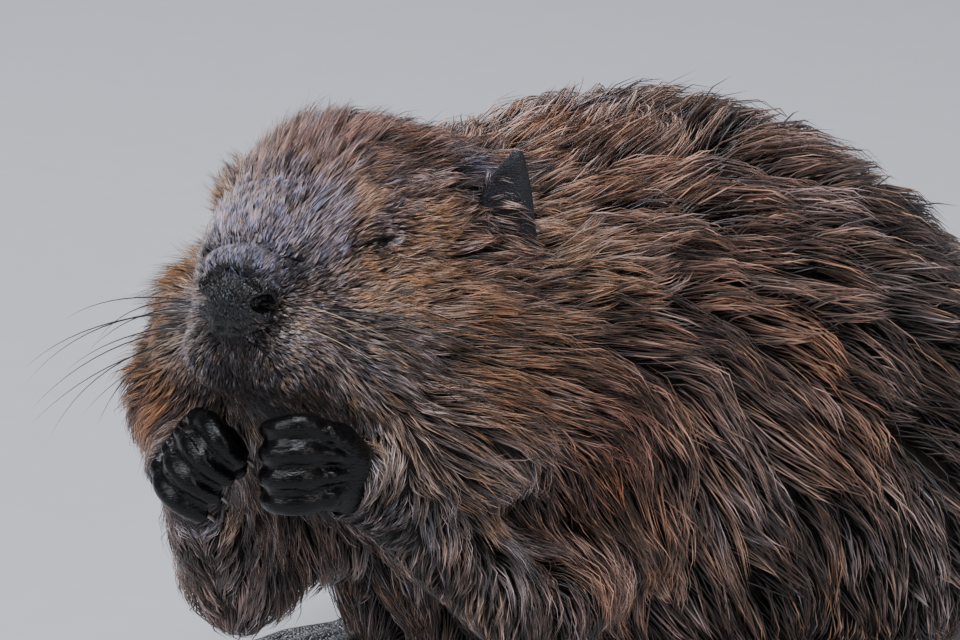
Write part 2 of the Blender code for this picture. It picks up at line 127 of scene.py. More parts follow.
class Tone(Enum):
    """Colours of the ends of the hairs; some are lightened to paint the sheen of wet hair, and one to paint
    light on weakly lit patches.
    """

    JET = (0.018, 0.017, 0.022)
    # dark hairs with a bluish lift that paints sheen on the pad and before the ear
    STEEL_AND_PAINTED_SHEEN = (0.105, 0.100, 0.135)
    # bluish-grey hairs of the rolls, lightened and tinted lilac as painted sheen
    SLATE_AND_PAINTED_SHEEN = (0.380, 0.345, 0.440)
    # pale lilac hair colour, standing for the sheen of wet hair facing up: painted sheen
    LILAC_PAINTED_SHEEN = (0.640, 0.530, 0.600)
    LILAC_GREY = (0.430, 0.340, 0.375)
    ROSE_BROWN = (0.480, 0.310, 0.270)
    PALE_PINK = (0.600, 0.440, 0.395)
    SOOT = (0.060, 0.046, 0.046)
    DARK_BROWN = (0.100, 0.066, 0.056)
    AUBURN = (0.425, 0.235, 0.178)
    FOXY = (0.430, 0.200, 0.130)
    GOLDEN = (0.490, 0.252, 0.142)
    SHELL = (0.950, 0.770, 0.700)
    PEACH_AND_PAINTED_LIGHT = (1.350, 0.850, 0.580)  # over 1, to outweigh the strokes round it; pale peach fur, brightened as painted light on patches that the lamps light weakly
    AMBER = (0.500, 0.250, 0.095)
    BLOND = (0.920, 0.560, 0.380)
    RUST = (0.420, 0.235, 0.168)
    CHESTNUT = (0.370, 0.245, 0.200)
    TAUPE = (0.360, 0.275, 0.250)


class Sides(Enum):
    """Which sides of the body a stroke of the comb is for."""

    BOTH = (1.0, -1.0)
    LEFT = (1.0,)
    RIGHT = (-1.0,)


class Part(Enum):
    """What a stretch of skin belongs to; all but FUR are bare or nearly so."""

    FUR = 0
    NOSE = 1
    EAR = 2
    HAND = 3
    FOOT = 4
    TAIL = 5
    LID = 6


@dataclass(frozen=True)
class Comb:
    """One stroke of the comb: how the coat lies round one place on the left half of the body."""

    zone: Zone
    place_mm: Triple
    way: Triple
    length_mm: float
    depth_mm: float  # of the coat, from the skin to the tips
    width_mm: float  # of a tuft
    lock_mm: float  # from one lock to the next
    stand: float  # 0 lies flat, 1 stands off the body
    tone: Tone
    sides: Sides = Sides.BOTH


def strokes(zone: Zone, *rows: tuple) -> tuple[Comb, ...]:
    """The strokes of one zone, each from a row of its other values."""
    return tuple(Comb(zone, *row) for row in rows)


LEFT, RIGHT = Sides.LEFT, Sides.RIGHT
COMBS = strokes(
    Zone.FACE,
    # Nose pad and the rolls above it
    # steel-grey hairs on top of the pad paint its bluish sheen
    ((0, 3, 7), (0, 0.3, 1), 2.8, 0.3, 0.12, 0.8, 0.1, Tone.STEEL_AND_PAINTED_SHEEN),
    ((10, 3, 7), (0.4, 0.6, 0.6), 2.8, 0.4, 0.12, 0.7, 0.15, Tone.DARK_BROWN),
    ((13, 5, 0), (0.5, 0.6, 0.6), 2.8, 0.4, 0.12, 0.8, 0.1, Tone.JET),
    ((0, 3, -8), (0, 0.2, -1), 2.6, 0.3, 0.12, 0.8, 0.1, Tone.JET),
    ((16, 14, -10), (0.8, 0.5, -0.5), 4, 0.8, 0.2, 0.9, 0.3, Tone.SOOT),
    # the hairs of the rolls carry a painted lilac sheen
    ((0, 10, 17), (0.1, 0.5, 0.85), 6, 0.9, 0.17, 0.7, 0.25, Tone.SLATE_AND_PAINTED_SHEEN),
    ((12, 14, 13), (0.4, 0.65, 0.65), 6, 0.9, 0.17, 0.7, 0.25, Tone.SLATE_AND_PAINTED_SHEEN),
    ((20, 21, 8), (0.45, 0.75, 0.45), 5, 0.9, 0.2, 1, 0.4, Tone.SOOT),
    ((20, 16, 13), (0.45, 0.75, 0.45), 4, 0.9, 0.18, 1, 0.3, Tone.JET, LEFT),
    ((0, 4, -20), (0, 0.2, -1), 5, 0.8, 0.22, 1, 0.3, Tone.SOOT),
    ((13, 14, -18), (0.5, 0.4, -0.75), 6, 1.2, 0.24, 1.1, 0.4, Tone.SOOT),
    # Bridge of the nose, lips and whisker pads
    # the bridge's pale lilac is painted sheen of wet hair facing up
    ((0, 30, 33), (0, 0.45, 0.9), 6, 1.4, 0.17, 1, 0.35, Tone.LILAC_PAINTED_SHEEN),
    ((8, 40, 40), (0.1, 0.5, 0.85), 7, 1.6, 0.18, 1.1, 0.35, Tone.LILAC_GREY),
    ((14, 28, 26), (0.3, 0.5, 0.8), 7, 1.5, 0.18, 1, 0.35, Tone.LILAC_PAINTED_SHEEN),
    # on the right, standing pale pink hairs on the bridge paint a warm rim light
    ((22, 36, 33), (0.6, 0.4, 0.7), 8, 1.8, 0.2, 1.1, 1.2, Tone.PALE_PINK, RIGHT),
    ((12, 56, 50), (0.1, 0.65, 0.75), 20, 3.4, 0.24, 1.4, 1.4, Tone.ROSE_BROWN),
    ((24, 42, 33), (0.45, 0.65, 0.6), 20, 2.8, 0.24, 1.2, 0.4, Tone.LILAC_PAINTED_SHEEN, LEFT),
    ((24, 34, 20), (0.45, 0.6, 0.65), 13, 2, 0.22, 1.1, 0.4, Tone.LILAC_GREY),
    ((24, 24, -8), (0.75, 0.6, -0.25), 8, 1.8, 0.22, 1.1, 0.6, Tone.PALE_PINK, LEFT),
    ((22, 18, -14), (0.75, 0.6, -0.25), 6, 1.4, 0.22, 1.1, 0.6, Tone.SHELL, LEFT),
    ((19, 17, -16), (0.9, 0.3, -0.4), 9, 1.4, 0.22, 1.1, 1.6, Tone.SHELL, RIGHT),
    ((22, 18, -3), (0.95, 0.3, -0.2), 9, 1.4, 0.22, 1.1, 1.8, Tone.SHELL, RIGHT),
    ((34, 30, -10), (0.9, 0.3, -0.25), 10, 2, 0.24, 1.2, 1.2, Tone.SHELL, RIGHT),
    ((30, 32, -20), (0.6, 0.6, -0.55), 10, 2.2, 0.27, 1.4, 0.55, Tone.PALE_PINK),
    ((22, 26, -36), (0.35, 0.4, -0.85), 11, 2.4, 0.32, 1.4, 0.4, Tone.TAUPE),
    ((4, 14, -36), (0.15, 0.1, -1), 8, 1.8, 0.32, 1.3, 0.3, Tone.SOOT),
    ((0, 40, -55), (0, 0.5, -0.85), 14, 3, 0.31, 1.4, 0.4, Tone.JET),
    # pale peach under the eye, brightened as painted light where the brow shades it
    ((37, 53, 9.5), (0.5, 0.85, -0.1), 13, 3, 0.26, 1.4, 0.45, Tone.PEACH_AND_PAINTED_LIGHT, LEFT),
    ((44, 50, -26), (0.55, 0.75, -0.45), 18, 3.8, 0.33, 2.2, 0.4, Tone.TAUPE, LEFT),
    # Round the eye
    ((38, 62, 17), (0.45, 0.85, 0.25), 3, 0.7, 0.26, 1.2, 0.1, Tone.JET),
    ((32, 49, 14.5), (0.42, 0.7, 0.6), 6, 1.2, 0.22, 1.1, 0.15, Tone.JET),
    ((38, 67, 24), (0.45, 0.85, -0.05), 7, 1.4, 0.24, 1.1, 0.3, Tone.LILAC_GREY),
    ((40, 68, 20.8), (0.45, 0.85, -0.05), 6, 1.2, 0.22, 1.1, 0.3, Tone.PALE_PINK, LEFT),
    ((30, 54, 30), (0.4, 0.7, 0.6), 19, 3.2, 0.24, 1.4, 0.4, Tone.BLOND, LEFT),
    ((40, 70, 28), (0.4, 0.88, 0.12), 15, 2.8, 0.31, 1.4, 0.25, Tone.ROSE_BROWN, LEFT),
    ((45, 60, 4), (0.45, 0.85, -0.22), 20, 3.6, 0.32, 2.2, 0.35, Tone.BLOND, LEFT),
    ((47, 74, 7), (0.45, 0.85, -0.22), 24, 4, 0.37, 2.6, 0.35, Tone.BLOND, LEFT),
    # pale peach behind the eye, brightened as painted light where the key lamp only grazes it
    ((45, 76, 16.5), (0.35, 0.92, -0.08), 14, 3.4, 0.28, 1.4, 0.5, Tone.PEACH_AND_PAINTED_LIGHT, LEFT),
    ((50, 86, 17), (0.35, 0.92, -0.08), 18, 3.8, 0.3, 1.5, 0.5, Tone.PEACH_AND_PAINTED_LIGHT, LEFT),
    # The ruffled far cheek
    ((38, 48, 10), (0.95, 0.2, -0.1), 18, 3.2, 0.28, 1.4, 3.6, Tone.AMBER, RIGHT),
    ((32, 53, 28), (0.8, 0.4, 0.3), 17, 3, 0.24, 1.4, 3.4, Tone.AMBER, RIGHT),
) + strokes(
    Zone.CHEEK,
    ((40, 70, 28), (0.9, 0.2, 0.1), 20, 3.4, 0.29, 2.1, 3.8, Tone.AMBER, RIGHT),
    ((46, 58, 3), (0.95, 0.2, -0.12), 25, 4, 0.31, 2.2, 5, Tone.AMBER, RIGHT),
    ((50, 82, 13), (0.95, 0.2, -0.1), 26, 4.6, 0.32, 2.5, 4.4, Tone.AMBER, RIGHT),
    ((58, 78, -8), (0.95, 0.2, -0.25), 26, 6, 0.34, 2.7, 3.4, Tone.AMBER, RIGHT),
    ((60, 110, 8), (0.9, 0.35, -0.1), 32, 7, 0.4, 3.3, 3.6, Tone.AMBER, RIGHT),
    ((44, 50, -26), (0.85, 0.3, -0.45), 18, 3.8, 0.31, 2.1, 1.2, Tone.AMBER, RIGHT),
    ((68, 72, -36), (0.8, 0.35, -0.5), 28, 7, 0.4, 3.1, 1.3, Tone.AMBER, RIGHT),
    ((54, 54, -54), (0.6, 0.4, -0.7), 24, 5, 0.38, 2.7, 0.9, Tone.GOLDEN, RIGHT),
) + strokes(
    Zone.CROWN,
    ((36, 92, 46), (0.45, 0.75, 0.4), 24, 6, 0.42, 3.7, 2.2, Tone.FOXY, RIGHT),
    # Forehead and crown
    ((8, 68, 56), (0.05, 0.55, 0.8), 24, 4.8, 0.28, 2.4, 2.8, Tone.AUBURN),
    ((22, 74, 52), (0.2, 0.6, 0.75), 24, 5.4, 0.3, 2.6, 3.4, Tone.AUBURN, RIGHT),
    ((30, 74, 44), (0.42, 0.78, 0.4), 28, 5, 0.28, 2.4, 0.45, Tone.ROSE_BROWN, LEFT),
    ((8, 94, 63), (0.15, 0.9, 0.4), 30, 7.4, 0.38, 2.9, 0.45, Tone.AUBURN),
    ((34, 100, 52), (0.35, 0.93, 0.05), 34, 7.4, 0.4, 3.1, 0.35, Tone.AUBURN, LEFT),
    ((0, 140, 57), (0, 1, 0.05), 40, 9.6, 0.54, 4.2, 0.35, Tone.AUBURN),
    ((44, 126, 34), (0.3, 0.95, -0.02), 30, 6, 0.4, 3.1, 0.4, Tone.LILAC_GREY),
    ((60, 110, 8), (0.3, 0.93, -0.18), 32, 7, 0.5, 4.4, 0.25, Tone.RUST, LEFT),
    ((64, 155, 8), (0.2, 0.95, -0.25), 36, 9, 0.58, 5.5, 0.3, Tone.BLOND),
) + strokes(
    Zone.FACE,
    ((63, 113, 34), (0.45, 0.8, 0.2), 7, 0.8, 0.22, 1.1, 0.15, Tone.TAUPE),
    # steel-grey hairs before the ear paint its bluish sheen
    ((70, 117, 34), (0.45, 0.8, 0.2), 4, 0.4, 0.2, 0.9, 0.1, Tone.STEEL_AND_PAINTED_SHEEN),
) + strokes(
    Zone.CHEEK,
    # Cheeks and throat
    ((60, 80, -8), (0.35, 0.88, -0.3), 36, 7, 0.41, 3.3, 0.5, Tone.GOLDEN, LEFT),
    ((70, 72, -40), (0.4, 0.84, -0.38), 38, 7.8, 0.43, 3.4, 0.5, Tone.GOLDEN, LEFT),
    ((92, 112, -30), (0.2, 0.92, -0.3), 45, 9, 0.5, 4.1, 0.4, Tone.GOLDEN),
    ((102, 135, -62), (0.1, 0.93, -0.38), 48, 10, 0.56, 5.2, 0.4, Tone.FOXY),
    ((74, 76, -74), (0.3, 0.8, -0.5), 36, 8, 0.44, 3.6, 0.6, Tone.PALE_PINK),
    ((38, 60, -74), (0.15, 0.45, -0.9), 24, 6, 0.4, 3.1, 0.6, Tone.SHELL),
    ((0, 62, -72), (0, 0.3, -0.95), 18, 5, 0.4, 2.8, 0.5, Tone.JET),
    ((0, 90, -95), (0, 0.4, -0.92), 34, 9, 0.59, 4.4, 0.4, Tone.SOOT),
    ((66, 100, -108), (0.1, 0.35, -0.92), 32, 8, 0.54, 4.2, 0.35, Tone.PALE_PINK),
    ((92, 150, -115), (0.05, 0.5, -0.85), 40, 10, 0.62, 5.8, 0.35, Tone.RUST),
) + strokes(
    Zone.NECK,
    # Neck and chest
    ((0, 185, 42), (0, 1, -0.05), 46, 12, 0.84, 7, 0.35, Tone.RUST),
    ((60, 190, 22), (0.15, 0.97, -0.2), 46, 12, 0.84, 7, 0.3, Tone.RUST),
    ((106, 200, -40), (0.1, 0.88, -0.45), 50, 12, 0.86, 7.3, 0.35, Tone.RUST),
    ((112, 220, -100), (0.05, 0.7, -0.7), 50, 12, 0.88, 7.5, 0.35, Tone.CHESTNUT),
    ((0, 140, -160), (0, 0.3, -0.95), 42, 12, 0.9, 7.6, 0.3, Tone.TAUPE),
) + strokes(
    Zone.BACK,
    # Back, flanks and belly
    ((0, 240, 33), (0, 1, -0.02), 50, 13, 0.96, 9.2, 0.35, Tone.RUST),
    ((90, 280, 5), (0.15, 0.93, -0.3), 52, 14, 0.96, 9.6, 0.35, Tone.RUST),
    ((0, 350, 32), (0, 1, -0.1), 52, 14, 1, 10, 0.35, Tone.CHESTNUT),
    ((95, 400, -20), (0.1, 0.9, -0.4), 52, 14, 1, 10, 0.35, Tone.CHESTNUT),
) + strokes(
    Zone.FLANK,
    ((136, 270, -80), (0.05, 0.8, -0.6), 50, 13, 0.98, 9.6, 0.35, Tone.RUST),
    ((148, 370, -90), (0, 0.75, -0.65), 50, 13, 1, 9.8, 0.35, Tone.CHESTNUT),
    ((122, 250, -170), (0, 0.75, -0.65), 44, 12, 0.98, 9.6, 0.35, Tone.CHESTNUT),
    ((130, 330, -222), (0, 0.9, -0.45), 34, 9, 0.96, 9.2, 0.25, Tone.TAUPE),
    ((0, 220, -228), (0, 0.9, -0.4), 34, 8, 1.1, 10, 0.2, Tone.TAUPE),
    ((0, 420, -235), (0, 1, 0), 30, 8, 1.2, 11, 0.2, Tone.TAUPE),
) + strokes(
    Zone.RUMP,
    ((0, 465, -10), (0, 0.85, -0.5), 50, 13, 1.12, 10, 0.35, Tone.CHESTNUT),
    ((0, 530, -100), (0, 0.7, -0.7), 44, 12, 1.12, 9.6, 0.35, Tone.CHESTNUT),
    ((88, 500, -110), (0.1, 0.7, -0.7), 44, 12, 1.12, 9.6, 0.35, Tone.CHESTNUT),
    ((60, 565, -175), (0, 0.8, -0.55), 34, 9, 1.01, 8.6, 0.3, Tone.CHESTNUT),
    ((0, 605, -178), (0, 0.93, -0.35), 24, 6, 0.83, 6.6, 0.25, Tone.CHESTNUT),
    ((42, 622, -208), (0.05, 0.98, -0.15), 16, 4.4, 0.72, 5.6, 0.2, Tone.CHESTNUT),
) + strokes(
    Zone.LIMB,
    # Haunches, forelegs
    ((152, 400, -145), (0, 0.6, -0.8), 40, 10, 1.09, 8.8, 0.35, Tone.CHESTNUT),
    ((148, 330, -180), (0.05, 0.3, -0.95), 28, 7.4, 0.94, 7.6, 0.3, Tone.CHESTNUT),
    ((122, 440, -205), (0.05, 0.75, -0.65), 32, 8.6, 1.01, 8.4, 0.3, Tone.CHESTNUT),
    ((112, 330, -205), (0.1, -0.3, -0.9), 12, 3, 0.71, 4.6, 0.15, Tone.DARK_BROWN),
    ((102, 200, -85), (0.05, 0.3, -0.95), 40, 9, 0.94, 8.2, 0.35, Tone.RUST),
    ((92, 150, -160), (-0.05, -0.1, -0.98), 20, 5, 0.78, 5.8, 0.2, Tone.DARK_BROWN),
    ((58, 88, -118), (-0.1, -0.25, -0.95), 14, 3.4, 0.62, 4.4, 0.15, Tone.DARK_BROWN),
    ((44, 50, -88), (-0.2, -0.55, -0.6), 8, 1.4, 0.46, 3.2, 0.1, Tone.SOOT),
)


@dataclass(frozen=True)
class Finger:
    """One finger of a closed hand: heights of its joints over the wrist, its reach and its radius."""

    knuckle: float
    middle: float
    tip: float
    reach: float
    radius: float

    def halfway(self, other: "Finger") -> "Finger":
        """The values between those of this finger and of another."""
        return Finger(*((mine + theirs) / 2 for mine, theirs in zip(astuple(self), astuple(other))))


# From the forefinger down to the little finger
FINGERS = (
    Finger(0.0200, 0.0292, 0.0242, 0.0004, 0.0052),
    Finger(0.0140, 0.0180, 0.0144, 0.0032, 0.0058),
    Finger(0.0062, 0.0068, 0.0046, 0.0034, 0.0058),
    Finger(-0.0012, -0.0042, -0.0052, 0.0008, 0.0053),
)
HAND_TURNS = {"left": (0, 0, 0), "right": (-10, 34, 0)}  # degrees about X, Y and Z, at the wrist
EAR_TURNS = {1.0: (6, 4, 24), -1.0: (-34, -4, -24)}  # degrees about X, Y and Z; the right ear is folded back


# Place from the nose, radii, and degrees that it is tilted by: the pad, the rolls behind it and the lip
NOSE_BALLS = (
    ((0, 0.0125, -0.0010), (0.0165, 0.0130, 0.0160), 0),
    ((0, 0.0100, -0.0070), (0.0135, 0.0105, 0.0130), 0),
    ((0, 0.0150, 0.0115), (0.0165, 0.0105, 0.0090), -14),
    ((0, 0.0240, 0.0125), (0.0185, 0.0115, 0.0090), -20),
    ((0, 0.0340, 0.0200), (0.0160, 0.0095, 0.0070), -32),
    ((0, 0.0150, -0.0220), (0.0090, 0.0085, 0.0120), 0),
)
# Place from its foot and radius of each ball of an ear, from the foot to the tip
EAR_BALLS = (
    ((-0.0085, 0.001, -0.0120), 0.0046),
    ((0.0110, 0.001, -0.0120), 0.0046),
    ((-0.0085, 0.001, -0.0030), 0.0040),
    ((0.0104, 0.001, -0.0030), 0.0040),
    ((-0.0068, 0.000, 0.0090), 0.0036),
    ((0.0086, 0.000, 0.0110), 0.0036),
    ((-0.0018, 0.000, 0.0190), 0.0034),
    ((0.0062, 0.000, 0.0215), 0.0034),
    ((0.0046, 0.000, 0.0282), 0.0031),
)
# The left half of a crease, from its end to the middle, measured from the nose
PAD_CREASE = ((0.0135, 0.0060, 0.0040), (0.0090, 0.0040, 0.0095), (0.0000, 0.0040, 0.0122))
ROLL_CREASE = ((0.0220, 0.0270, 0.0120), (0.0130, 0.0200, 0.0182), (0.0000, 0.0175, 0.0217))
# A whole crease, from right to left
BROW_CREASE = (
    (-0.022, 0.045, 0.038),
    (-0.010, 0.047, 0.043),
    (0.004, 0.048, 0.045),
    (0.013, 0.045, 0.042),
    (0.018, 0.037, 0.034),
    (0.019, 0.029, 0.026),
)


class Landmarks:
    """Places on the body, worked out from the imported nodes."""

    def __init__(self) -> None:
        """Reads the boxes of the nodes."""
        low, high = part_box("nose")
        self.nose = Vector(((low.x + high.x) / 2, low.y, low.z + 0.025))
        self.eyes: dict[str, Vector] = {}
        for word, _ in SIDES:
            low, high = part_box("eye_" + word)
            self.eyes[word] = (low + high) / 2
        self.eye_radius = (high.z - low.z) / 2
        low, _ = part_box("ear_left")
        self.ear_foot = Vector((low.x + 0.0130, low.y + 0.0070, low.z + 0.0090))
        low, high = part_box("hand_left")
        self.wrist = Vector((high.x - 0.0100, high.y - 0.0020, low.z + 0.0090))
        self.tail_low, self.tail_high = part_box("tail")


def mirrored(point: Triple | Vector, side: float) -> Vector:
    """A point of the left half, on the side asked for."""
    return Vector((point[0] * side, point[1], point[2]))


class Placer:
    """Places points measured from an origin of the left half as (out, back, up), on either side."""

    def __init__(self, origin: Vector, side: float = 1.0, turn: Triple = (0.0, 0.0, 0.0)) -> None:
        """Keeps where to measure from.

        Args:
            origin: the place on the left half to measure from.
            side: 1 for the left half, -1 for the right.
            turn: degrees about X, Y and Z that the measured points are turned by.
        """
        self.origin = mirrored(origin, side)
        self.side = side
        self.rotation = Euler([math.radians(angle) for angle in turn]).to_matrix()

    def __call__(self, out: float, back: float, up: float) -> Vector:
        """The place so far out from the middle, back and up from the origin."""
        return self.origin + self.rotation @ Vector((out * self.side, back, up))


class Clay:
    """Overlapping closed shapes that are fused into one surface."""

    def __init__(self) -> None:
        """Starts with nothing."""
        self.bm = bmesh.new()

    def ball(self, centre: Vector, radii: Triple, turn: Triple = (0.0, 0.0, 0.0)) -> None:
        """Adds an ellipsoid.

        Args:
            centre: its middle.
            radii: its three radii.
            turn: degrees about X, Y and Z.
        """
        rotation = Euler([math.radians(v) for v in turn]).to_matrix().to_4x4()
        size = Matrix.Diagonal((*radii, 1.0))
        place = Matrix.Translation(centre) @ rotation @ size
        bmesh.ops.create_uvsphere(self.bm, u_segments=32, v_segments=20, radius=1.0, matrix=place)

    def bone(self, ends: list[tuple[Vector, float]]) -> None:
        """Adds the hull of some balls.

        Args:
            ends: (centre, radius) of each ball.
        """
        hull = bmesh.new()
        for centre, radius in ends:
            place = Matrix.Translation(centre)
            bmesh.ops.create_uvsphere(hull, u_segments=24, v_segments=16, radius=radius, matrix=place)
        bmesh.ops.delete(hull, geom=hull.edges[:], context="EDGES_FACES")
        bmesh.ops.convex_hull(hull, input=hull.verts[:])
        inside = [vert for vert in hull.verts if not vert.link_faces]
        bmesh.ops.delete(hull, geom=inside, context="VERTS")
        self.add_bmesh(hull)

    def limb(self, joints: list[tuple[Vector, float]]) -> None:
        """Adds bones from joint to joint, with the bends rounded off.

        Args:
            joints: (place, radius) of each joint, in order.
        """
        for _ in range(2):
            rounded = [joints[0]]
            for (start, thick), (end, thin) in zip(joints, joints[1:]):
                rounded.append((start.lerp(end, 0.25), thick * 0.75 + thin * 0.25))
                rounded.append((start.lerp(end, 0.75), thick * 0.25 + thin * 0.75))
            joints = [*rounded, joints[-1]]
        for pair in zip(joints, joints[1:]):
            self.bone(list(pair))

    def add_bmesh(self, bm: BMesh) -> None:
        """Adds the shapes of another bmesh, and frees it.

        Args:
            bm: the other bmesh.
        """
        mesh = bpy.data.meshes.new("clay_lump")
        bm.to_mesh(mesh)
        bm.free()
        self.bm.from_mesh(mesh)
        bpy.data.meshes.remove(mesh)

    def add_mesh(self, mesh: Mesh) -> None:
        """Adds a mesh as it is."""
        self.bm.from_mesh(mesh)

    def points(self) -> Array:
        """The corners of all its shapes."""
        return np.array([vert.co for vert in self.bm.verts], float).reshape(-1, 3)

    def fused(self, name: str, voxel: float, smoothing: int, keep: int = 0) -> Object:
        """Fuses the shapes into one surface.

        Args:
            name: name of the object that is made.
            voxel: edge of the voxels that fuse the shapes.
            smoothing: rounds of smoothing.
            keep: about how many triangles are kept, or 0 for all.

        Returns:
            The object, with its modifiers applied.
        """
        obj = new_object(name, self.bm)
        remesh = obj.modifiers.new("fuse", "REMESH")
        remesh.mode = "VOXEL"
        remesh.voxel_size = voxel
        soften = obj.modifiers.new("soften", "SMOOTH")
        soften.factor = 0.5
        soften.iterations = smoothing
        baked(obj)
        if keep:
            thin = obj.modifiers.new("thin", "DECIMATE")
            thin.ratio = min(1.0, keep / (2 * len(obj.data.polygons)))
            baked(obj)
        return obj


def new_object(name: str, bm: BMesh) -> Object:
    """Turns a bmesh into an object of the scene, and frees it.

    Args:
        name: name of the object.
        bm: its shape.

    Returns:
        The object.
    """
    mesh = bpy.data.meshes.new(name)
    bm.to_mesh(mesh)
    bm.free()
    obj = bpy.data.objects.new(name, mesh)
    bpy.context.scene.collection.objects.link(obj)
    return obj


def baked(obj: Object) -> None:
    """Gives obj the mesh that its modifiers make, and removes them.

    Args:
        obj: the object.
    """
    bpy.context.view_layer.update()
    graph = bpy.context.evaluated_depsgraph_get()
    mesh = bpy.data.meshes.new_from_object(obj.evaluated_get(graph))
    obj.modifiers.clear()
    spare = obj.data
    obj.data = mesh
    bpy.data.meshes.remove(spare)
    mesh.name = obj.name


def rows_of(items: bpy_prop_collection, key: str, width: int, kind: type = float) -> Array:
    """Reads one property of many items.

    Args:
        items: the items of a mesh.
        key: name of the property.
        width: how many numbers each has.
        kind: of the numbers.

    Returns:
        One row for each item.
    """
    flat = np.empty(len(items) * width, kind)
    items.foreach_get(key, flat)
    return flat.reshape(-1, width)


def corners(mesh: Mesh) -> Array:
    """The vertices of a mesh as rows."""
    return rows_of(mesh.vertices, "co", 3)


def set_corners(mesh: Mesh, points: Array) -> None:
    """Moves the vertices of a mesh."""
    mesh.vertices.foreach_set("co", points.ravel())
    mesh.update()


def normals_of(mesh: Mesh) -> Array:
    """The vertex normals of a mesh as rows."""
    return rows_of(mesh.vertex_normals, "vector", 3)


def unit(vectors: Array) -> Array:
    """Rows scaled to a length of one."""
    return vectors / np.maximum(np.linalg.norm(vectors, axis=-1, keepdims=True), 1e-12)


def along_surface(ways: Array, normals: Array) -> Array:
    """Directions laid flat on the surface that the normals belong to."""
    flat = ways - normals * np.sum(ways * normals, axis=-1, keepdims=True)
    return unit(flat)


def smoothstep(values: Array, low: float, high: float) -> Array:
    """0 up to low, 1 from high on, and a smooth rise between."""
    t = np.clip((values - low) / (high - low), 0.0, 1.0)
    return t * t * (3.0 - 2.0 * t)


def blurred(values: Array, edges: Array, rounds: int) -> Array:
    """Values at the vertices, evened out with their neighbours.

    Args:
        values: one row for each vertex.
        edges: pairs of vertices.
        rounds: how many times it is done.

    Returns:
        The evened values.
    """
    count = len(values)
    degree = np.bincount(edges.ravel(), minlength=count).astype(float)
    columns = values.reshape(count, -1).astype(float).copy()
    for _ in range(rounds):
        for k in range(columns.shape[1]):
            column = columns[:, k]
            total = np.bincount(edges[:, 0], weights=column[edges[:, 1]], minlength=count)
            total += np.bincount(edges[:, 1], weights=column[edges[:, 0]], minlength=count)
            columns[:, k] = (column + total) / (1.0 + degree)
    return columns.reshape(values.shape)


def edges_of(mesh: Mesh) -> Array:
    """The edges of a mesh as pairs of vertices."""
    return rows_of(mesh.edges, "vertices", 2, np.int64)


def triangles_of(mesh: Mesh) -> Array:
    """The triangles of a mesh as vertex triples."""
    mesh.calc_loop_triangles()
    return rows_of(mesh.loop_triangles, "vertices", 3, np.int64)


def loop_corners(mesh: Mesh) -> Array:
    """The vertex of each corner of a face."""
    return rows_of(mesh.loops, "vertex_index", 1, np.int64)[:, 0]


def nearest_rows(points: Array, targets: Array) -> Array:
    """For each point, the number of the nearest target.

    Args:
        points: as rows.
        targets: as rows.

    Returns:
        One number for each point.
    """
    tree = KDTree(len(targets))
    for i, target in enumerate(targets.tolist()):
        tree.insert(target, i)
    tree.balance()
    return np.array([tree.find(point)[1] for point in points.tolist()])


def eye_frame(marks: Landmarks, word: str, side: float) -> tuple[Vector, Vector, Vector, Vector]:
    """The middle of the slit between the lids, and its directions out of the head, along and across.

    Args:
        marks: places on the body.
        word: left or right.
        side: 1 on the left, -1 on the right.

    Returns:
        The middle and the three directions; along runs back and up.
    """
    outward = mirrored(EYE_WAY, side).normalized()
    along = mirrored(SLIT_WAY, side)
    along = (along - outward * along.dot(outward)).normalized()
    across = outward.cross(along)
    if across.z < 0:
        across = -across
    return marks.eyes[word] + outward * (marks.eye_radius + LID_THICKNESS), outward, along, across


def lid_distance(marks: Landmarks, word: str, side: float, points: Array) -> Array:
    """How far points are from the slit between the lids: less than 1 on the bare lids.

    Args:
        marks: places on the body.
        word: left or right.
        side: 1 on the left, -1 on the right.
        points: the points, as rows.

    Returns:
        One value for each point.
    """
    front, outward, along, across = (np.array(v) for v in eye_frame(marks, word, side))
    offset = points - front - along * LID_BACK
    away = np.hypot(offset @ along / LID_LENGTH, offset @ across / LID_HEIGHT)
    return np.where(np.abs(offset @ outward) > 2 * LID_LENGTH, 9.0, away)


def nose_creases(marks: Landmarks) -> list[list[Vector]]:
    """The creases above the pad of the nose, above the roll behind it, and at the foot of the forehead.

    Args:
        marks: places on the body.

    Returns:
        The path of each crease.
    """
    at = Placer(marks.nose)
    creases = []
    for half in (PAD_CREASE, ROLL_CREASE):
        left = [at(*place) for place in half]
        right = [at(-out, back, up) for out, back, up in half[:-1]]
        creases.append(left + right[::-1])
    creases.append([at(*place) for place in BROW_CREASE])
    return creases


def laid_on(points: Array, path: list[Vector]) -> list[Vector]:
    """The path, with each of its ends and bends moved to the nearest of the points."""
    return [Vector(points[np.linalg.norm(points - np.array(place), axis=1).argmin()]) for place in path]


def path_distance(points: Array, path: list[Vector]) -> Array:
    """How far each point is from a path of straight stretches.

    Args:
        points: as rows.
        path: the ends of its stretches, in order.

    Returns:
        One distance for each point.
    """
    nearest = np.full(len(points), np.inf)
    for start, end in zip(path, path[1:]):
        a, b = np.array(start), np.array(end)
        span = b - a
        t = np.clip((points - a) @ span / (span @ span), 0.0, 1.0)
        nearest = np.minimum(nearest, np.linalg.norm(points - (a + t[:, None] * span), axis=1))
    return nearest


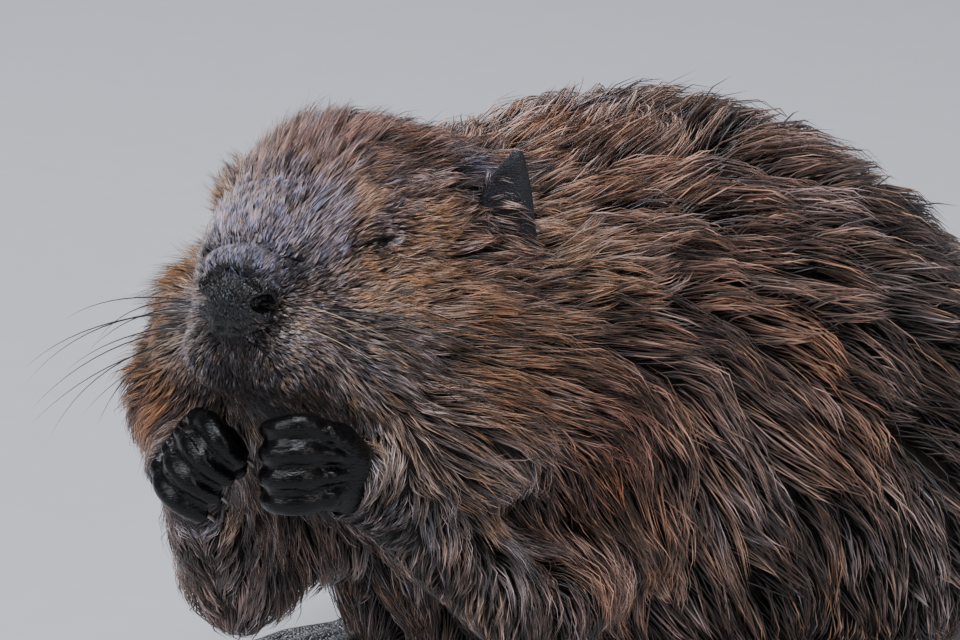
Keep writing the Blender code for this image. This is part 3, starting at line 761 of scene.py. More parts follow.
class CombField:
    """The lie of the whole coat, blended from the strokes of the comb on both sides."""

    NEAR = 0.006  # a place nearer than this takes one stroke's values almost alone
    SHARPNESS = 2.2

    def __init__(self, combs: tuple[Comb, ...], marks: Landmarks) -> None:
        """Lays the strokes out on both halves of the body.

        Args:
            combs: the strokes for the left half.
            marks: places on the body.
        """
        rows, sizes, places, ways = [], [], [], []
        for _, side in SIDES:
            at = Placer(marks.nose, side)
            for comb in combs:
                if side not in comb.sides.value:
                    continue
                rows.append(comb)
                millimetres = np.array([comb.length_mm, comb.depth_mm, comb.width_mm, comb.lock_mm])
                sizes.append([*(millimetres / 1000), comb.stand])
                places.append(at(*(value / 1000 for value in comb.place_mm)))
                ways.append(mirrored(comb.way, side).normalized())
        self.places = np.array(places)
        self.ways = np.array(ways)
        self.zones = np.array([list(Zone).index(comb.zone) for comb in rows])
        self.tones = np.array([comb.tone.value for comb in rows])
        self.sizes = np.array(sizes)
        self.covers = np.array([COVER[comb.zone] for comb in rows])

    def shares(self, points: Array) -> Array:
        """How much of each stroke every point takes, as rows that add up to one.

        Args:
            points: as rows.

        Returns:
            One row for each point, with a value for each stroke.
        """
        away = np.sum((points[:, None, :] - self.places[None, :, :]) ** 2, axis=2)
        pull = (away + self.NEAR ** 2) ** -self.SHARPNESS
        return pull / pull.sum(axis=1, keepdims=True)

    def sizes_at(self, points: Array) -> Array:
        """Length, depth, width, lock spacing and stand at each point."""
        return self.shares(points) @ self.sizes

    def cover_at(self, points: Array) -> Array:
        """How many tufts lie over one another at each point."""
        return self.shares(points) @ self.covers

    def way_at(self, points: Array, normals: Array) -> Array:
        """The direction of the hairs at each point, along the surface."""
        return along_surface(self.shares(points) @ self.ways, normals)

    def zone_at(self, points: Array) -> Array:
        """The number of the zone that each point is in."""
        shares = self.shares(points)
        return np.stack([shares[:, self.zones == k].sum(axis=1) for k in range(len(Zone))]).argmax(axis=0)

    def tone_at(self, points: Array) -> Array:
        """The colour of the ends of the hairs at each point."""
        return self.shares(points) @ self.tones


def cloud(points: Array, size: float, seed: int) -> Array:
    """Smooth wandering values between about -1 and 1.

    Args:
        points: where the values are wanted, as rows.
        size: about how far apart the lumps are.
        seed: picks another pattern.

    Returns:
        One value for each point.
    """
    rng = np.random.default_rng(seed)
    total = np.zeros(len(points))
    for _ in range(7):
        way = unit(rng.normal(size=3)) * rng.uniform(0.6, 1.6)
        total += np.sin(points @ way * (2 * math.pi / size) + rng.uniform(0, 2 * math.pi))
    return total / 3.2


class Sculptor:
    """Moves the vertices of a mesh as a modelling tool would."""

    def __init__(self, mesh: Mesh) -> None:
        """Takes the mesh up.

        Args:
            mesh: the mesh that is worked on.
        """
        self.mesh = mesh
        self.points = corners(mesh)
        self.normals = normals_of(mesh)

    def put_back(self) -> None:
        """Gives the mesh its new shape and reads its normals again."""
        set_corners(self.mesh, self.points)
        self.normals = normals_of(self.mesh)

    def near(self, centre: Vector, reach: float) -> Array:
        """1 at the centre, falling smoothly to 0 at the reach."""
        away = np.linalg.norm(self.points - np.array(centre), axis=1)
        return 1.0 - smoothstep(away, 0.0, reach)

    def push(self, centre: Vector, way: Vector, radii: Triple, along: Vector, depth: float) -> None:
        """Pushes a round or oval patch of the surface.

        Args:
            centre: middle of the patch.
            way: where it is pushed.
            radii: half its length, half its width and how deep in the body it reaches.
            along: the direction of its length.
            depth: how far it is pushed.
        """
        push = np.array(way.normalized())
        length = np.array(along.normalized())
        width = np.cross(push, length)
        offset = self.points - np.array(centre)
        away = (offset @ length / radii[0]) ** 2 + (offset @ width / radii[1]) ** 2
        inside = np.clip(1.0 - away, 0.0, 1.0) * (np.abs(offset @ push) < radii[2])
        self.points += push * (depth * inside ** 0.6)[:, None]

    def groove(self, path: list[Vector], width: float, depth: float) -> None:
        """Cuts a soft groove along a path, or raises a ridge where the depth is negative."""
        cut = depth * np.exp(-((path_distance(self.points, path) / width) ** 2))
        self.points -= self.normals * cut[:, None]

    def wrinkle(self, mask: Array, across: Vector, spacing: float, depth: float, seed: int) -> None:
        """Folds the skin into fine wavy wrinkles.

        Args:
            mask: how strongly, at each vertex.
            across: the direction that the wrinkles follow one another in.
            spacing: from one wrinkle to the next.
            depth: of the wrinkles.
            seed: picks another pattern.
        """
        bend = cloud(self.points, spacing * 5.0, seed) * 1.1
        phase = self.points @ np.array(across.normalized()) / spacing + bend
        fold = 1.0 - np.abs(np.sin(phase * math.pi)) ** 0.6
        fade = 0.5 + 0.5 * cloud(self.points, spacing * 7.0, seed + 1)
        self.points -= self.normals * (mask * depth * fold * np.clip(fade, 0.15, 1.0))[:, None]

    def roughen(self, mask: Array, size: float, depth: float, seed: int) -> None:
        """Gives the surface soft lumps."""
        self.points += self.normals * (mask * depth * cloud(self.points, size, seed))[:, None]


def refined(obj: Object, spots: list[tuple[Vector, float, float]]) -> None:
    """Splits the long edges of obj round some places.

    Args:
        obj: the object whose mesh is made finer.
        spots: (centre, reach, longest edge) of each place.
    """
    bm = bmesh.new()
    bm.from_mesh(obj.data)
    for _ in range(3):
        long_edges = []
        for edge in bm.edges:
            middle = (edge.verts[0].co + edge.verts[1].co) / 2
            length = edge.calc_length()
            for centre, reach, longest in spots:
                if length > longest and (middle - centre).length_squared < reach * reach:
                    long_edges.append(edge)
                    break
        if not long_edges:
            break
        bmesh.ops.subdivide_edges(bm, edges=long_edges, cuts=1, smooth=0.0)
        bmesh.ops.triangulate(bm, faces=[face for face in bm.faces if len(face.verts) > 3])
    bm.to_mesh(obj.data)
    bm.free()


@dataclass
class Skin:
    """The one skin over all flesh, under the coat by its depth and bare where nothing grows."""

    frame: dict
    marks: Landmarks
    combs: CombField
    outline_voxel: float = 0.0024
    voxel: float = 0.0013
    triangles: int = 80_000
    gap: float = 0.0006  # between neighbouring nodes, and a little more
    outline_smoothing: int = 14  # rounds
    smoothing: int = 3
    rounding_voxel: float = 0.0016  # of the feet and the tail
    rounding: int = 6
    fine_edge: float = 0.0011  # longest edge where the skin is fine
    obj: Object = field(init=False)
    labels: Array = field(init=False)

    def furred_nodes(self) -> list[str]:
        """The nodes that carry the coat."""
        limbs = [f"{part}_{word}" for part in ("foreleg", "haunch") for word, _ in SIDES]
        return ["head", "neck", "trunk", "tail_root", *limbs]

    def bare_nodes(self) -> list[str]:
        """The nodes of bare flesh."""
        paired = [f"{part}_{word}" for part in ("ear", "hand", "hind_foot") for word, _ in SIDES]
        return ["nose", "tail", *paired]

    def node_clay(self, names: list[str], swell: float) -> Clay:
        """The meshes of some nodes, swollen a little so that the gaps between them close.

        Args:
            names: the nodes.
            swell: how far.

        Returns:
            The shapes.
        """
        clay = Clay()
        for name in names:
            bm = bmesh.new()
            bm.from_mesh(self.frame["nodes"][name].data)
            bmesh.ops.remove_doubles(bm, verts=bm.verts[:], dist=1e-6)
            bmesh.ops.recalc_face_normals(bm, faces=bm.faces[:])
            bm.normal_update()
            for vert in bm.verts:
                vert.co += vert.normal * swell
            clay.add_bmesh(bm)
        return clay

    def under_coat(self) -> Object:
        """The furred body, inside its outline by the depth of the coat.

        Returns:
            The body as an object.
        """
        clay = self.node_clay(self.furred_nodes(), self.gap)
        obj = clay.fused("under_coat", self.outline_voxel, self.outline_smoothing)
        points, edges = corners(obj.data), edges_of(obj.data)
        normals = unit(blurred(normals_of(obj.data), edges, 6))
        depth = self.combs.sizes_at(points)[:, 1] + self.gap
        set_corners(obj.data, points - normals * depth[:, None])
        return obj

    def nose_clay(self) -> Clay:
        """The bare nose: a blunt pad, a wing round each nostril, and rolls of skin behind.

        Returns:
            Its shapes.
        """
        clay = Clay()
        at = Placer(self.marks.nose)
        for place, radii, tilt in NOSE_BALLS:
            clay.ball(at(*place), radii, (tilt, 0, 0))
        for _, side in SIDES:
            place = Placer(self.marks.nose, side)
            clay.ball(place(0.0112, 0.0122, -0.0010), (0.0068, 0.0096, 0.0110), (0, 0, 25 * side))
            clay.ball(place(0.0120, 0.0260, 0.0060), (0.0100, 0.0100, 0.0085))
        return clay

    def ear_clay(self, side: float) -> Clay:
        """A small thick ear, broad at its foot and blunt at its tip.

        Args:
            side: 1 on the left, -1 on the right.

        Returns:
            Its shapes.
        """
        clay = Clay()
        at = Placer(self.marks.ear_foot, side, EAR_TURNS[side])
        clay.bone([(at(*place), radius) for place, radius in EAR_BALLS])
        return clay

    def hand_clay(self, word: str, side: float) -> Clay:
        """A closed hand: its fingers lie one above another and curl in towards the other hand.

        Args:
            word: left or right.
            side: 1 on the left, -1 on the right.

        Returns:
            Its shapes.
        """
        at = Placer(self.marks.wrist, side, HAND_TURNS[word])
        clay = Clay()
        clay.bone([
            (at(0.004, 0.014, -0.010), 0.0120),
            (at(-0.002, -0.013, 0.017), 0.0105),
            (at(-0.003, -0.014, 0.001), 0.0105),
        ])
        for finger in FINGERS:
            radius = finger.radius
            curl = finger.middle * 0.5 + finger.tip * 0.5
            swelling = finger.knuckle * 0.6 + finger.middle * 0.4
            clay.limb([
                (at(-0.001, -0.014, finger.knuckle), radius),
                (at(-0.006, -0.029 - finger.reach, finger.middle), radius * 1.10),
                (at(-0.018, -0.035 - finger.reach, curl), radius * 0.92),
                (at(-0.026, -0.027, finger.tip), radius * 0.80),
            ])
            clay.ball(at(-0.0005, -0.0215, swelling), (radius * 1.12,) * 3)
        clay.limb([
            (at(-0.010, -0.008, 0.021), 0.0060),
            (at(-0.020, -0.016, 0.023), 0.0052),
            (at(-0.026, -0.019, 0.018), 0.0044),
        ])
        return clay

    def lid_clay(self, word: str) -> Clay:
        """The lids: a shell that covers the eyeball.

        Args:
            word: left or right.

        Returns:
            Its shape.
        """
        clay = Clay()
        radius = self.marks.eye_radius
        clay.ball(self.marks.eyes[word], (radius + 0.0017, radius + 0.0034, radius + 0.0017))
        return clay

    def soft_node(self, name: str) -> Clay:
        """A bare node as it is packed, rounded.

        Args:
            name: name of the node.

        Returns:
            Its shape.
        """
        obj = self.node_clay([name], 0.0).fused("rounded", self.rounding_voxel, self.rounding)
        clay = Clay()
        clay.add_mesh(obj.data)
        bpy.data.objects.remove(obj)
        return clay

    def build(self) -> None:
        """Fuses the skin, works its details in and labels its parts."""
        fur = self.under_coat()
        fur_clay = Clay()
        fur_clay.add_mesh(fur.data)
        bpy.data.objects.remove(fur)
        lumps = [(Part.FUR, fur_clay), (Part.NOSE, self.nose_clay()), (Part.TAIL, self.soft_node("tail"))]
        for word, side in SIDES:
            lumps += [
                (Part.FUR, self.lid_clay(word)),
                (Part.EAR, self.ear_clay(side)),
                (Part.HAND, self.hand_clay(word, side)),
                (Part.FOOT, self.soft_node("hind_foot_" + word)),
            ]
        sources, kinds, whole = [], [], Clay()
        for part, clay in lumps:
            points = clay.points()
            sources.append(points)
            kinds.append(np.full(len(points), part.value))
            whole.add_bmesh(clay.bm)
        self.obj = whole.fused("skin", self.voxel, self.smoothing, self.triangles)
        LOG.info("skin fused: %d triangles", len(self.obj.data.polygons))
        refined(self.obj, self.fine_spots())
        self.sculpt()
        self.label(np.concatenate(sources), np.concatenate(kinds))

    def fine_spots(self) -> list[tuple[Vector, float, float]]:
        """The places where the skin is made finer.

        Returns:
            (centre, reach, longest edge) of each place.
        """
        spots = [(Placer(self.marks.nose)(0, 0.014, 0), 0.034, self.fine_edge)]
        for word, side in SIDES:
            hand = Placer(self.marks.wrist, side)(-0.012, -0.020, 0.010)
            spots.append((self.marks.eyes[word], 0.015, self.fine_edge))
            spots.append((hand, 0.034, self.fine_edge))
        return spots

    def sculpt(self) -> None:
        """Works nostrils, folds, lids and creases into the skin."""
        tool = Sculptor(self.obj.data)
        self.sculpt_nose(tool)
        for word, side in SIDES:
            self.sculpt_eye(tool, word, side)
            self.sculpt_ear(tool, side)
            self.sculpt_hand(tool, word, side)
        tool.points[:, 2] = np.maximum(tool.points[:, 2], 0.0)
        tool.put_back()
        LOG.info("skin sculpted: %d triangles", len(self.obj.data.polygons))

    def sculpt_nose(self, tool: Sculptor) -> None:
        """Nostrils, the cleft below them and the rolls above.

        Args:
            tool: moves the vertices of the skin.
        """
        at = Placer(self.marks.nose)
        tool.groove([at(0, -0.002, -0.002), at(0, -0.001, -0.012), at(0, 0.006, -0.034)], 0.0013, 0.0014)
        tool.groove([at(0, 0.003, 0.011), at(0, -0.001, 0.004), at(0, -0.002, -0.004)], 0.0016, 0.0008)
        for crease in nose_creases(self.marks):
            tool.groove(laid_on(tool.points, crease), 0.0013, 0.0022)
        tool.put_back()
        for _, side in SIDES:
            place = Placer(self.marks.nose, side)
            inward = mirrored((-0.86, 0.50, 0.08), side)
            length = mirrored((0.40, 0.90, -0.12), side)
            rim = [
                place(0.0105, 0.0010, -0.0050),
                place(0.0108, 0.0008, 0.0020),
                place(0.0145, 0.0050, 0.0055),
            ]
            tool.groove(rim, 0.0015, -0.0007)
            low_rim = [
                place(0.0015, 0.0005, -0.0118),
                place(0.0075, 0.0015, -0.0132),
                place(0.0130, 0.0050, -0.0100),
            ]
            tool.groove(low_rim, 0.0011, 0.0012)
            tool.push(place(*NOSTRIL), inward, (0.0075, 0.0060, 0.0100), length, 0.0010)
            tool.push(place(*NOSTRIL), inward, (0.0052, 0.0044, 0.0100), length, 0.0066)
            tool.push(place(0.0175, 0.0120, -0.0035), inward, (0.0055, 0.0022, 0.0100), length, 0.0030)
        tool.put_back()
        mask = tool.near(at(0, 0.022, 0.014), 0.024)
        tool.wrinkle(mask, Vector((0.0, 1.0, 0.6)), 0.0030, 0.0007, 11)
        tool.roughen(tool.near(at(0, 0.012, 0), 0.030), 0.0024, 0.00018, 12)
        tool.put_back()

    def sculpt_eye(self, tool: Sculptor, word: str, side: float) -> None:
        """The almost closed slit between the lids, their rims, and the folds round them.

        Args:
            tool: moves the vertices of the skin.
            word: left or right.
            side: 1 on the left, -1 on the right.
        """
        front, outward, along, across = eye_frame(self.marks, word, side)
        for step, depth in ((0.0030, -0.0005), (0.0052, 0.0005), (-0.0030, -0.0006), (-0.0055, 0.0006)):
            arc = []
            for a in (-0.009, -0.0045, 0.0, 0.0045, 0.009):
                bend = step * (1 - (a / 0.012) ** 2)
                arc.append(front + along * a + across * bend - outward * (a * a * 40))
            tool.groove(arc, 0.0012, depth)
        tool.put_back()
        tool.push(front, -outward, (0.0075, 0.0008, 0.0070), along, 0.0030)
        tear = [front - along * a - across * (a * 0.4) for a in (0.006, 0.012, 0.018)]
        tool.groove(tear, 0.0014, 0.0014)
        tool.put_back()

    def sculpt_ear(self, tool: Sculptor, side: float) -> None:
        """The cup of an ear.

        Args:
            tool: moves the vertices of the skin.
            side: 1 on the left, -1 on the right.
        """
        at = Placer(self.marks.ear_foot, side, EAR_TURNS[side])
        forward = at(0, -1, 0) - at(0, 0, 0)
        upward = at(0, 0, 1) - at(0, 0, 0)
        tool.push(at(0.0000, -0.0040, 0.0080), -forward, (0.0150, 0.0068, 0.0040), upward, 0.0028)
        tool.put_back()

    def sculpt_hand(self, tool: Sculptor, word: str, side: float) -> None:
        """Creases over the joints of the fingers, and fine lines along them.

        Args:
            tool: moves the vertices of the skin.
            word: left or right.
            side: 1 on the left, -1 on the right.
        """
        at = Placer(self.marks.wrist, side, HAND_TURNS[word])
        for upper, lower in zip(FINGERS, FINGERS[1:]):
            gap = upper.halfway(lower)
            path = [
                at(0.006, -0.018, gap.knuckle),
                at(-0.001, -0.034 - gap.reach, gap.middle),
                at(-0.018, -0.041 - gap.reach, (gap.middle + gap.tip) / 2),
                at(-0.031, -0.029, gap.tip),
            ]
            tool.groove(path, 0.0015, 0.0019)
        tool.put_back()
        for finger in FINGERS:
            for out, back in ((0.004, -0.0250), (0.001, -0.0285), (-0.0015, -0.0315), (-0.012, -0.0400)):
                fold = [at(out, back - finger.reach, finger.middle + step) for step in (-0.0045, 0.0, 0.0045)]
                tool.groove(fold, 0.0007, 0.0006)
        tool.put_back()
        mask = tool.near(at(-0.010, -0.020, 0.008), 0.036)
        tool.wrinkle(mask, at(-0.3, 1, 0) - at(0, 0, 0), 0.0034, 0.00034, 21)
        tool.wrinkle(mask, at(0, 0.15, 1) - at(0, 0, 0), 0.0024, 0.00020, 25)
        tool.put_back()

    def label(self, sources: Array, kinds: Array) -> None:
        """Notes for each vertex what part of the body it belongs to.

        Args:
            sources: points of the shapes that were fused.
            kinds: the number of the part that each point belongs to.
        """
        points = corners(self.obj.data)
        self.labels = kinds[nearest_rows(points, sources)]
        for word, side in SIDES:
            self.labels[lid_distance(self.marks, word, side, points) < 1.0] = Part.LID.value

    def dress(self, finishes: dict[Part, Material]) -> None:
        """Gives each part of the skin its finish, and the colours of the coat's roots.

        Args:
            finishes: the material of each part.
        """
        mesh = self.obj.data
        for part in Part:
            mesh.materials.append(finishes[part])
        starts = rows_of(mesh.polygons, "loop_start", 1, np.int64)[:, 0]
        first_corners = loop_corners(mesh)[starts]
        mesh.polygons.foreach_set("material_index", self.labels[first_corners].astype(np.int32))
        tones = np.ones((len(mesh.vertices), 4))
        tones[:, :3] = root_tone(self.combs.tone_at(corners(mesh)))
        layer = mesh.color_attributes.new("coat_tone", "FLOAT_COLOR", "POINT")
        layer.data.foreach_set("color", tones.ravel())
        mesh.shade_smooth()
        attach(self.obj, ROOT_BODY)
        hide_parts(*self.furred_nodes(), *self.bare_nodes())


def root_tone(tones: Array) -> Array:
    """The dark colour of the hairs near the skin, from that of their ends."""
    return ROOT_TONE + ROOT_SHARE * tones


class Nodes:
    """A short way to wire up a material."""

    MIDDLE = (0.3, 0.7)  # the stretch of a noise that most of its values are in

    def __init__(self, name: str) -> None:
        """Makes an empty material with a Principled shader.

        Args:
            name: its name.
        """
        self.material = bpy.data.materials.new(name)
        self.material.use_nodes = True
        self.tree = self.material.node_tree
        self.shader = self.tree.nodes["Principled BSDF"]

    def feed(self, node: Node, inputs: Inputs) -> None:
        """Gives a node what goes into it.

        Args:
            node: the node.
            inputs: what goes in.
        """
        for key, value in inputs.items():
            if isinstance(value, Socket):
                self.tree.links.new(value, node.inputs[key])
            else:
                node.inputs[key].default_value = value

    def add(self, kind: str, output: str | int, inputs: Inputs, **options: str) -> Socket:
        """Adds a node.

        Args:
            kind: its type.
            output: which of its outputs is wanted.
            inputs: what goes in.
            options: its own settings.

        Returns:
            The output.
        """
        node = self.tree.nodes.new(kind)
        for key, value in options.items():
            setattr(node, key, value)
        self.feed(node, inputs)
        return node.outputs[output]

    def surface(self, **inputs: object) -> None:
        """Gives the shader sockets or plain values, with _ for the spaces in the names of its inputs."""
        self.feed(self.shader, {key.replace("_", " "): value for key, value in inputs.items()})

    def places(self) -> Socket:
        """Places in the row frame."""
        return self.add("ShaderNodeTexCoord", "Object", {})

    def attribute(self, name: str, output: str) -> Socket:
        """A value kept on the mesh."""
        return self.add("ShaderNodeAttribute", output, {}, attribute_name=name)

    def noise(self, where: Socket, scale: float, detail: float = 3.0) -> Socket:
        """A cloudy pattern."""
        return self.add("ShaderNodeTexNoise", "Fac", {"Vector": where, "Scale": scale, "Detail": detail})

    def cells(self, where: Socket, scale: float) -> Socket:
        """The distance to the edges of small cells."""
        inputs = {"Vector": where, "Scale": scale}
        return self.add("ShaderNodeTexVoronoi", "Distance", inputs, feature="DISTANCE_TO_EDGE")

    def spread(self, value: Socket, low: float, high: float, start: float = 0, end: float = 1) -> Socket:
        """Turns values from start to end into values from low to high."""
        inputs = {"Value": value, "From Min": start, "From Max": end, "To Min": low, "To Max": high}
        return self.add("ShaderNodeMapRange", "Result", inputs)

    def stretched(self, where: Socket, scale: Triple) -> Socket:
        """Places stretched by three factors."""
        return self.add("ShaderNodeMapping", "Vector", {"Vector": where, "Scale": scale})

    def mixed(self, share: Socket, low: Triple, high: Triple) -> Socket:
        """A colour between two."""
        inputs = {0: share, 6: (*low, 1.0), 7: (*high, 1.0)}
        return self.add("ShaderNodeMix", 2, inputs, data_type="RGBA")

    def times(self, colour: Socket, value: Socket) -> Socket:
        """A colour made darker or lighter by a value."""
        return self.add("ShaderNodeVectorMath", "Vector", {0: colour, "Scale": value}, operation="SCALE")

    def total(self, first: Socket, second: Socket, share: float) -> Socket:
        """The first value with a share of the second."""
        return self.add("ShaderNodeMath", "Value", {0: second, 1: share, 2: first}, operation="MULTIPLY_ADD")

    def bump(self, height: Socket, depth: float, strength: float) -> None:
        """Raises the surface by a pattern."""
        inputs = {"Distance": depth, "Strength": strength, "Height": height}
        self.surface(Normal=self.add("ShaderNodeBump", "Normal", inputs))


@dataclass(frozen=True)
class FurFinish:
    """Wet hairs: dark roots, coloured ends, fine lines along them and a cool gleam."""

    grain: Triple = (9.0, 2.2, 31.0)  # across, along and from hair to hair
    contrast: Pair = (0.62, 1.40)
    roughness: Pair = (0.26, 0.46)
    line_depth: float = 0.00018

    def material(self) -> Material:
        """Makes the material.

        Returns:
            The material.
        """
        made = Nodes("coat_hairs")
        lines = made.noise(made.stretched(made.attribute("strand", "Vector"), self.grain), 1.0, 4.0)
        light = made.spread(lines, *self.contrast, *Nodes.MIDDLE)
        made.surface(
            Base_Color=made.times(made.attribute("coat_tone", "Color"), light),
            Roughness=made.spread(lines, *self.roughness),
            Specular_IOR_Level=0.70,
            Coat_Weight=0.15,
            Coat_Roughness=0.22,
        )
        made.bump(lines, self.line_depth, 0.7)
        return made.material


@dataclass(frozen=True)
class UnderfurFinish:
    """The dark, felted wool under the long hairs."""

    grain: Triple = (1.0, 0.35, 1.0)
    hair: float = 1500.0  # hairs in a metre
    clump: float = 260.0
    contrast: Pair = (0.45, 1.5)
    roughness: Pair = (0.55, 0.85)
    depth: float = 0.0008

    def material(self) -> Material:
        """Makes the material.

        Returns:
            The material.
        """
        made = Nodes("underfur")
        where = made.places()
        fine = made.noise(made.stretched(where, self.grain), self.hair, 4.0)
        wool = made.total(fine, made.noise(where, self.clump), 0.8)
        light = made.spread(wool, *self.contrast, 0.5, 1.3)
        made.surface(
            Base_Color=made.times(made.attribute("coat_tone", "Color"), light),
            Roughness=made.spread(fine, *self.roughness),
            Specular_IOR_Level=0.2,
        )
        made.bump(wool, self.depth, 0.9)
        return made.material


@dataclass(frozen=True)
class BareFinish:
    """Wet, bare skin: small cells, fine lines and pores, and a gleam that changes from spot to spot."""

    name: str
    dark: Triple
    light: Triple
    cell: float  # cells in a metre
    cell_depth: float
    roughness: Pair
    shine: float = 0.5
    grain: Triple = (1.0, 1.0, 1.0)  # smaller draws the cells out along that axis
    patch: float = 95.0  # patches in a metre

    def material(self) -> Material:
        """Makes the material.

        Returns:
            The material.
        """
        made = Nodes(self.name)
        where = made.stretched(made.places(), self.grain)
        bent = made.noise(where, self.cell * 0.5, 2.0)
        cells = made.spread(made.cells(where, self.cell), 0.0, 1.0, 0.0, 0.30)
        pores = made.noise(where, self.cell * 2.6, 3.0)
        patches = made.noise(where, self.patch, 2.0)
        made.surface(
            Base_Color=made.mixed(made.total(patches, cells, 0.25), self.dark, self.light),
            Roughness=made.spread(made.total(pores, patches, 0.5), *self.roughness, 0.5, 1.0),
            Specular_IOR_Level=self.shine,
        )
        made.bump(made.total(made.total(cells, bent, 1.6), pores, 0.25), self.cell_depth, 1.0)
        return made.material


NOSE_FINISH = BareFinish(
    name="nose_skin", dark=(0.0006, 0.0006, 0.0008), light=(0.0036, 0.0033, 0.0042), cell=900.0,
    cell_depth=0.00016, roughness=(0.14, 0.36), shine=0.44, grain=(1.0, 1.0, 0.45),
)
EAR_FINISH = BareFinish(
    name="ear_skin", dark=(0.005, 0.005, 0.007), light=(0.022, 0.021, 0.028), cell=900.0,
    cell_depth=0.00022, roughness=(0.40, 0.62), shine=0.35,
)
HAND_FINISH = BareFinish(
    name="hand_skin", dark=(0.0006, 0.0006, 0.0008), light=(0.0026, 0.0023, 0.0030), cell=800.0,
    cell_depth=0.00008, roughness=(0.24, 0.42), shine=0.25, grain=(0.30, 0.30, 1.0),
)
LID_FINISH = BareFinish(
    name="lid_skin", dark=(0.0020, 0.0017, 0.0018), light=(0.0080, 0.0062, 0.0062), cell=1200.0,
    cell_depth=0.00010, roughness=(0.4, 0.6), shine=0.25,
)
FOOT_FINISH = BareFinish(
    name="foot_skin", dark=(0.008, 0.007, 0.007), light=(0.030, 0.026, 0.024), cell=520.0,
    cell_depth=0.00022, roughness=(0.26, 0.46),
)
TAIL_FINISH = BareFinish(
    name="tail_skin", dark=(0.010, 0.008, 0.008), light=(0.032, 0.027, 0.025), cell=620.0,
    cell_depth=0.00016, roughness=(0.35, 0.55),
)
SCALE_FINISH = BareFinish(
    name="tail_scales", dark=(0.014, 0.012, 0.011), light=(0.058, 0.050, 0.045), cell=420.0,
    cell_depth=0.00010, roughness=(0.28, 0.48),
)


@dataclass(frozen=True)
class StreakedFinish:
    """Horn, whiskers and eyeballs: streaked from a dark to a light tone, with a wet gleam."""

    name: str
    dark: Triple
    light: Triple
    streak: float  # streaks in a metre
    roughness: Pair
    grain: Triple = (1.0, 1.0, 1.0)  # smaller draws the streaks out along that axis
    detail: float = 3.0
    stretch: Pair = (0.0, 1.0)  # of the streaks, from all dark to all light
    streak_depth: float = 0.0
    shine: float = 0.6
    film: Pair = (0.0, 0.03)  # weight and roughness of the water on it

    def material(self) -> Material:
        """Makes the material.

        Returns:
            The material.
        """
        made = Nodes(self.name)
        streaks = made.noise(made.stretched(made.places(), self.grain), self.streak, self.detail)
        share = made.spread(streaks, 0.0, 1.0, *self.stretch)
        made.surface(
            Base_Color=made.mixed(share, self.dark, self.light),
            Roughness=made.spread(streaks, *self.roughness),
            Specular_IOR_Level=self.shine,
            Coat_Weight=self.film[0],
            Coat_Roughness=self.film[1],
        )
        if self.streak_depth:
            made.bump(streaks, self.streak_depth, 0.5)
        return made.material


HORN_FINISH = StreakedFinish(
    name="claw_horn", dark=(0.010, 0.007, 0.006), light=(0.120, 0.066, 0.054), streak=900.0,
    roughness=(0.16, 0.34), grain=(1.0, 0.15, 1.0), detail=4.0, stretch=Nodes.MIDDLE,
    streak_depth=0.0001, film=(0.3, 0.1),
)
EYE_FINISH = StreakedFinish(
    name="eyeball", dark=(0.003, 0.002, 0.002), light=(0.028, 0.014, 0.008), streak=1400.0,
    roughness=(0.28, 0.40), shine=0.5, film=(0.15, 0.20),
)
DARK_WHISKER_FINISH = StreakedFinish(
    name="whisker_dark", dark=(0.006, 0.005, 0.005), light=(0.022, 0.016, 0.014), streak=220.0,
    roughness=(0.22, 0.40),
)
PALE_WHISKER_FINISH = StreakedFinish(
    name="whisker_pale", dark=(0.300, 0.220, 0.140), light=(0.550, 0.440, 0.310), streak=220.0,
    roughness=(0.22, 0.40),
)


def mesh_object(name: str, points: Array, triangles: Array) -> Object:
    """Makes an object from rows of corners and of triangles.

    Args:
        name: its name.
        points: the corners.
        triangles: three corner numbers for each triangle.

    Returns:
        The object, shaded smooth.
    """
    mesh = bpy.data.meshes.new(name)
    mesh.vertices.add(len(points))
    mesh.vertices.foreach_set("co", points.astype(np.float32).ravel())
    mesh.loops.add(triangles.size)
    mesh.loops.foreach_set("vertex_index", triangles.astype(np.int32).ravel())
    mesh.polygons.add(len(triangles))
    mesh.polygons.foreach_set("loop_start", np.arange(0, triangles.size, 3, dtype=np.int32))
    mesh.update(calc_edges=True)
    mesh.shade_smooth()
    obj = bpy.data.objects.new(name, mesh)
    bpy.context.scene.collection.objects.link(obj)
    return obj


@dataclass
class Grown:
    """Roots spread over the skin."""

    points: Array
    normals: Array
    faces: Array
    shares: Array  # of the three corners of its triangle
    sizes: Array  # length, depth, width, lock, stand


@dataclass
class Locks:
    """The paths that the wet locks follow, one row of stations each."""

    roots: Array
    paths: Array
    ups: Array
    tones: Array
    lengths: Array


@dataclass(frozen=True)
class TuftShape:
    """How a closed three-sided tuft is built: a few rings along it, and then a point."""

    rings: tuple[float, ...]  # where they are along the tuft
    tapers: tuple[float, ...]  # how wide each is
    dark_until: float
    coloured_from: float

    SIDE_PLACES = ((-1.0, -0.25), (0.0, 0.85), (1.0, -0.25))  # across and up, of the corners of a ring

    @property
    def corners(self) -> int:
        """How many corners a tuft has."""
        return 3 * len(self.rings) + 1

    @property
    def triangles(self) -> int:
        """How many triangles a tuft has."""
        return 6 * len(self.rings) - 2

    def faces(self) -> Array:
        """The triangles of one tuft.

        Returns:
            Three corner numbers for each triangle.
        """
        faces = [(0, 1, 2)]
        for i in range(len(self.rings) - 1):
            for j in range(3):
                a, b = i * 3 + j, i * 3 + (j + 1) % 3
                faces += [(a, a + 3, b), (b, a + 3, b + 3)]
        last = self.corners - 4
        for j in range(3):
            faces.append((last + j, last + 3, last + (j + 1) % 3))
        return np.array(faces)


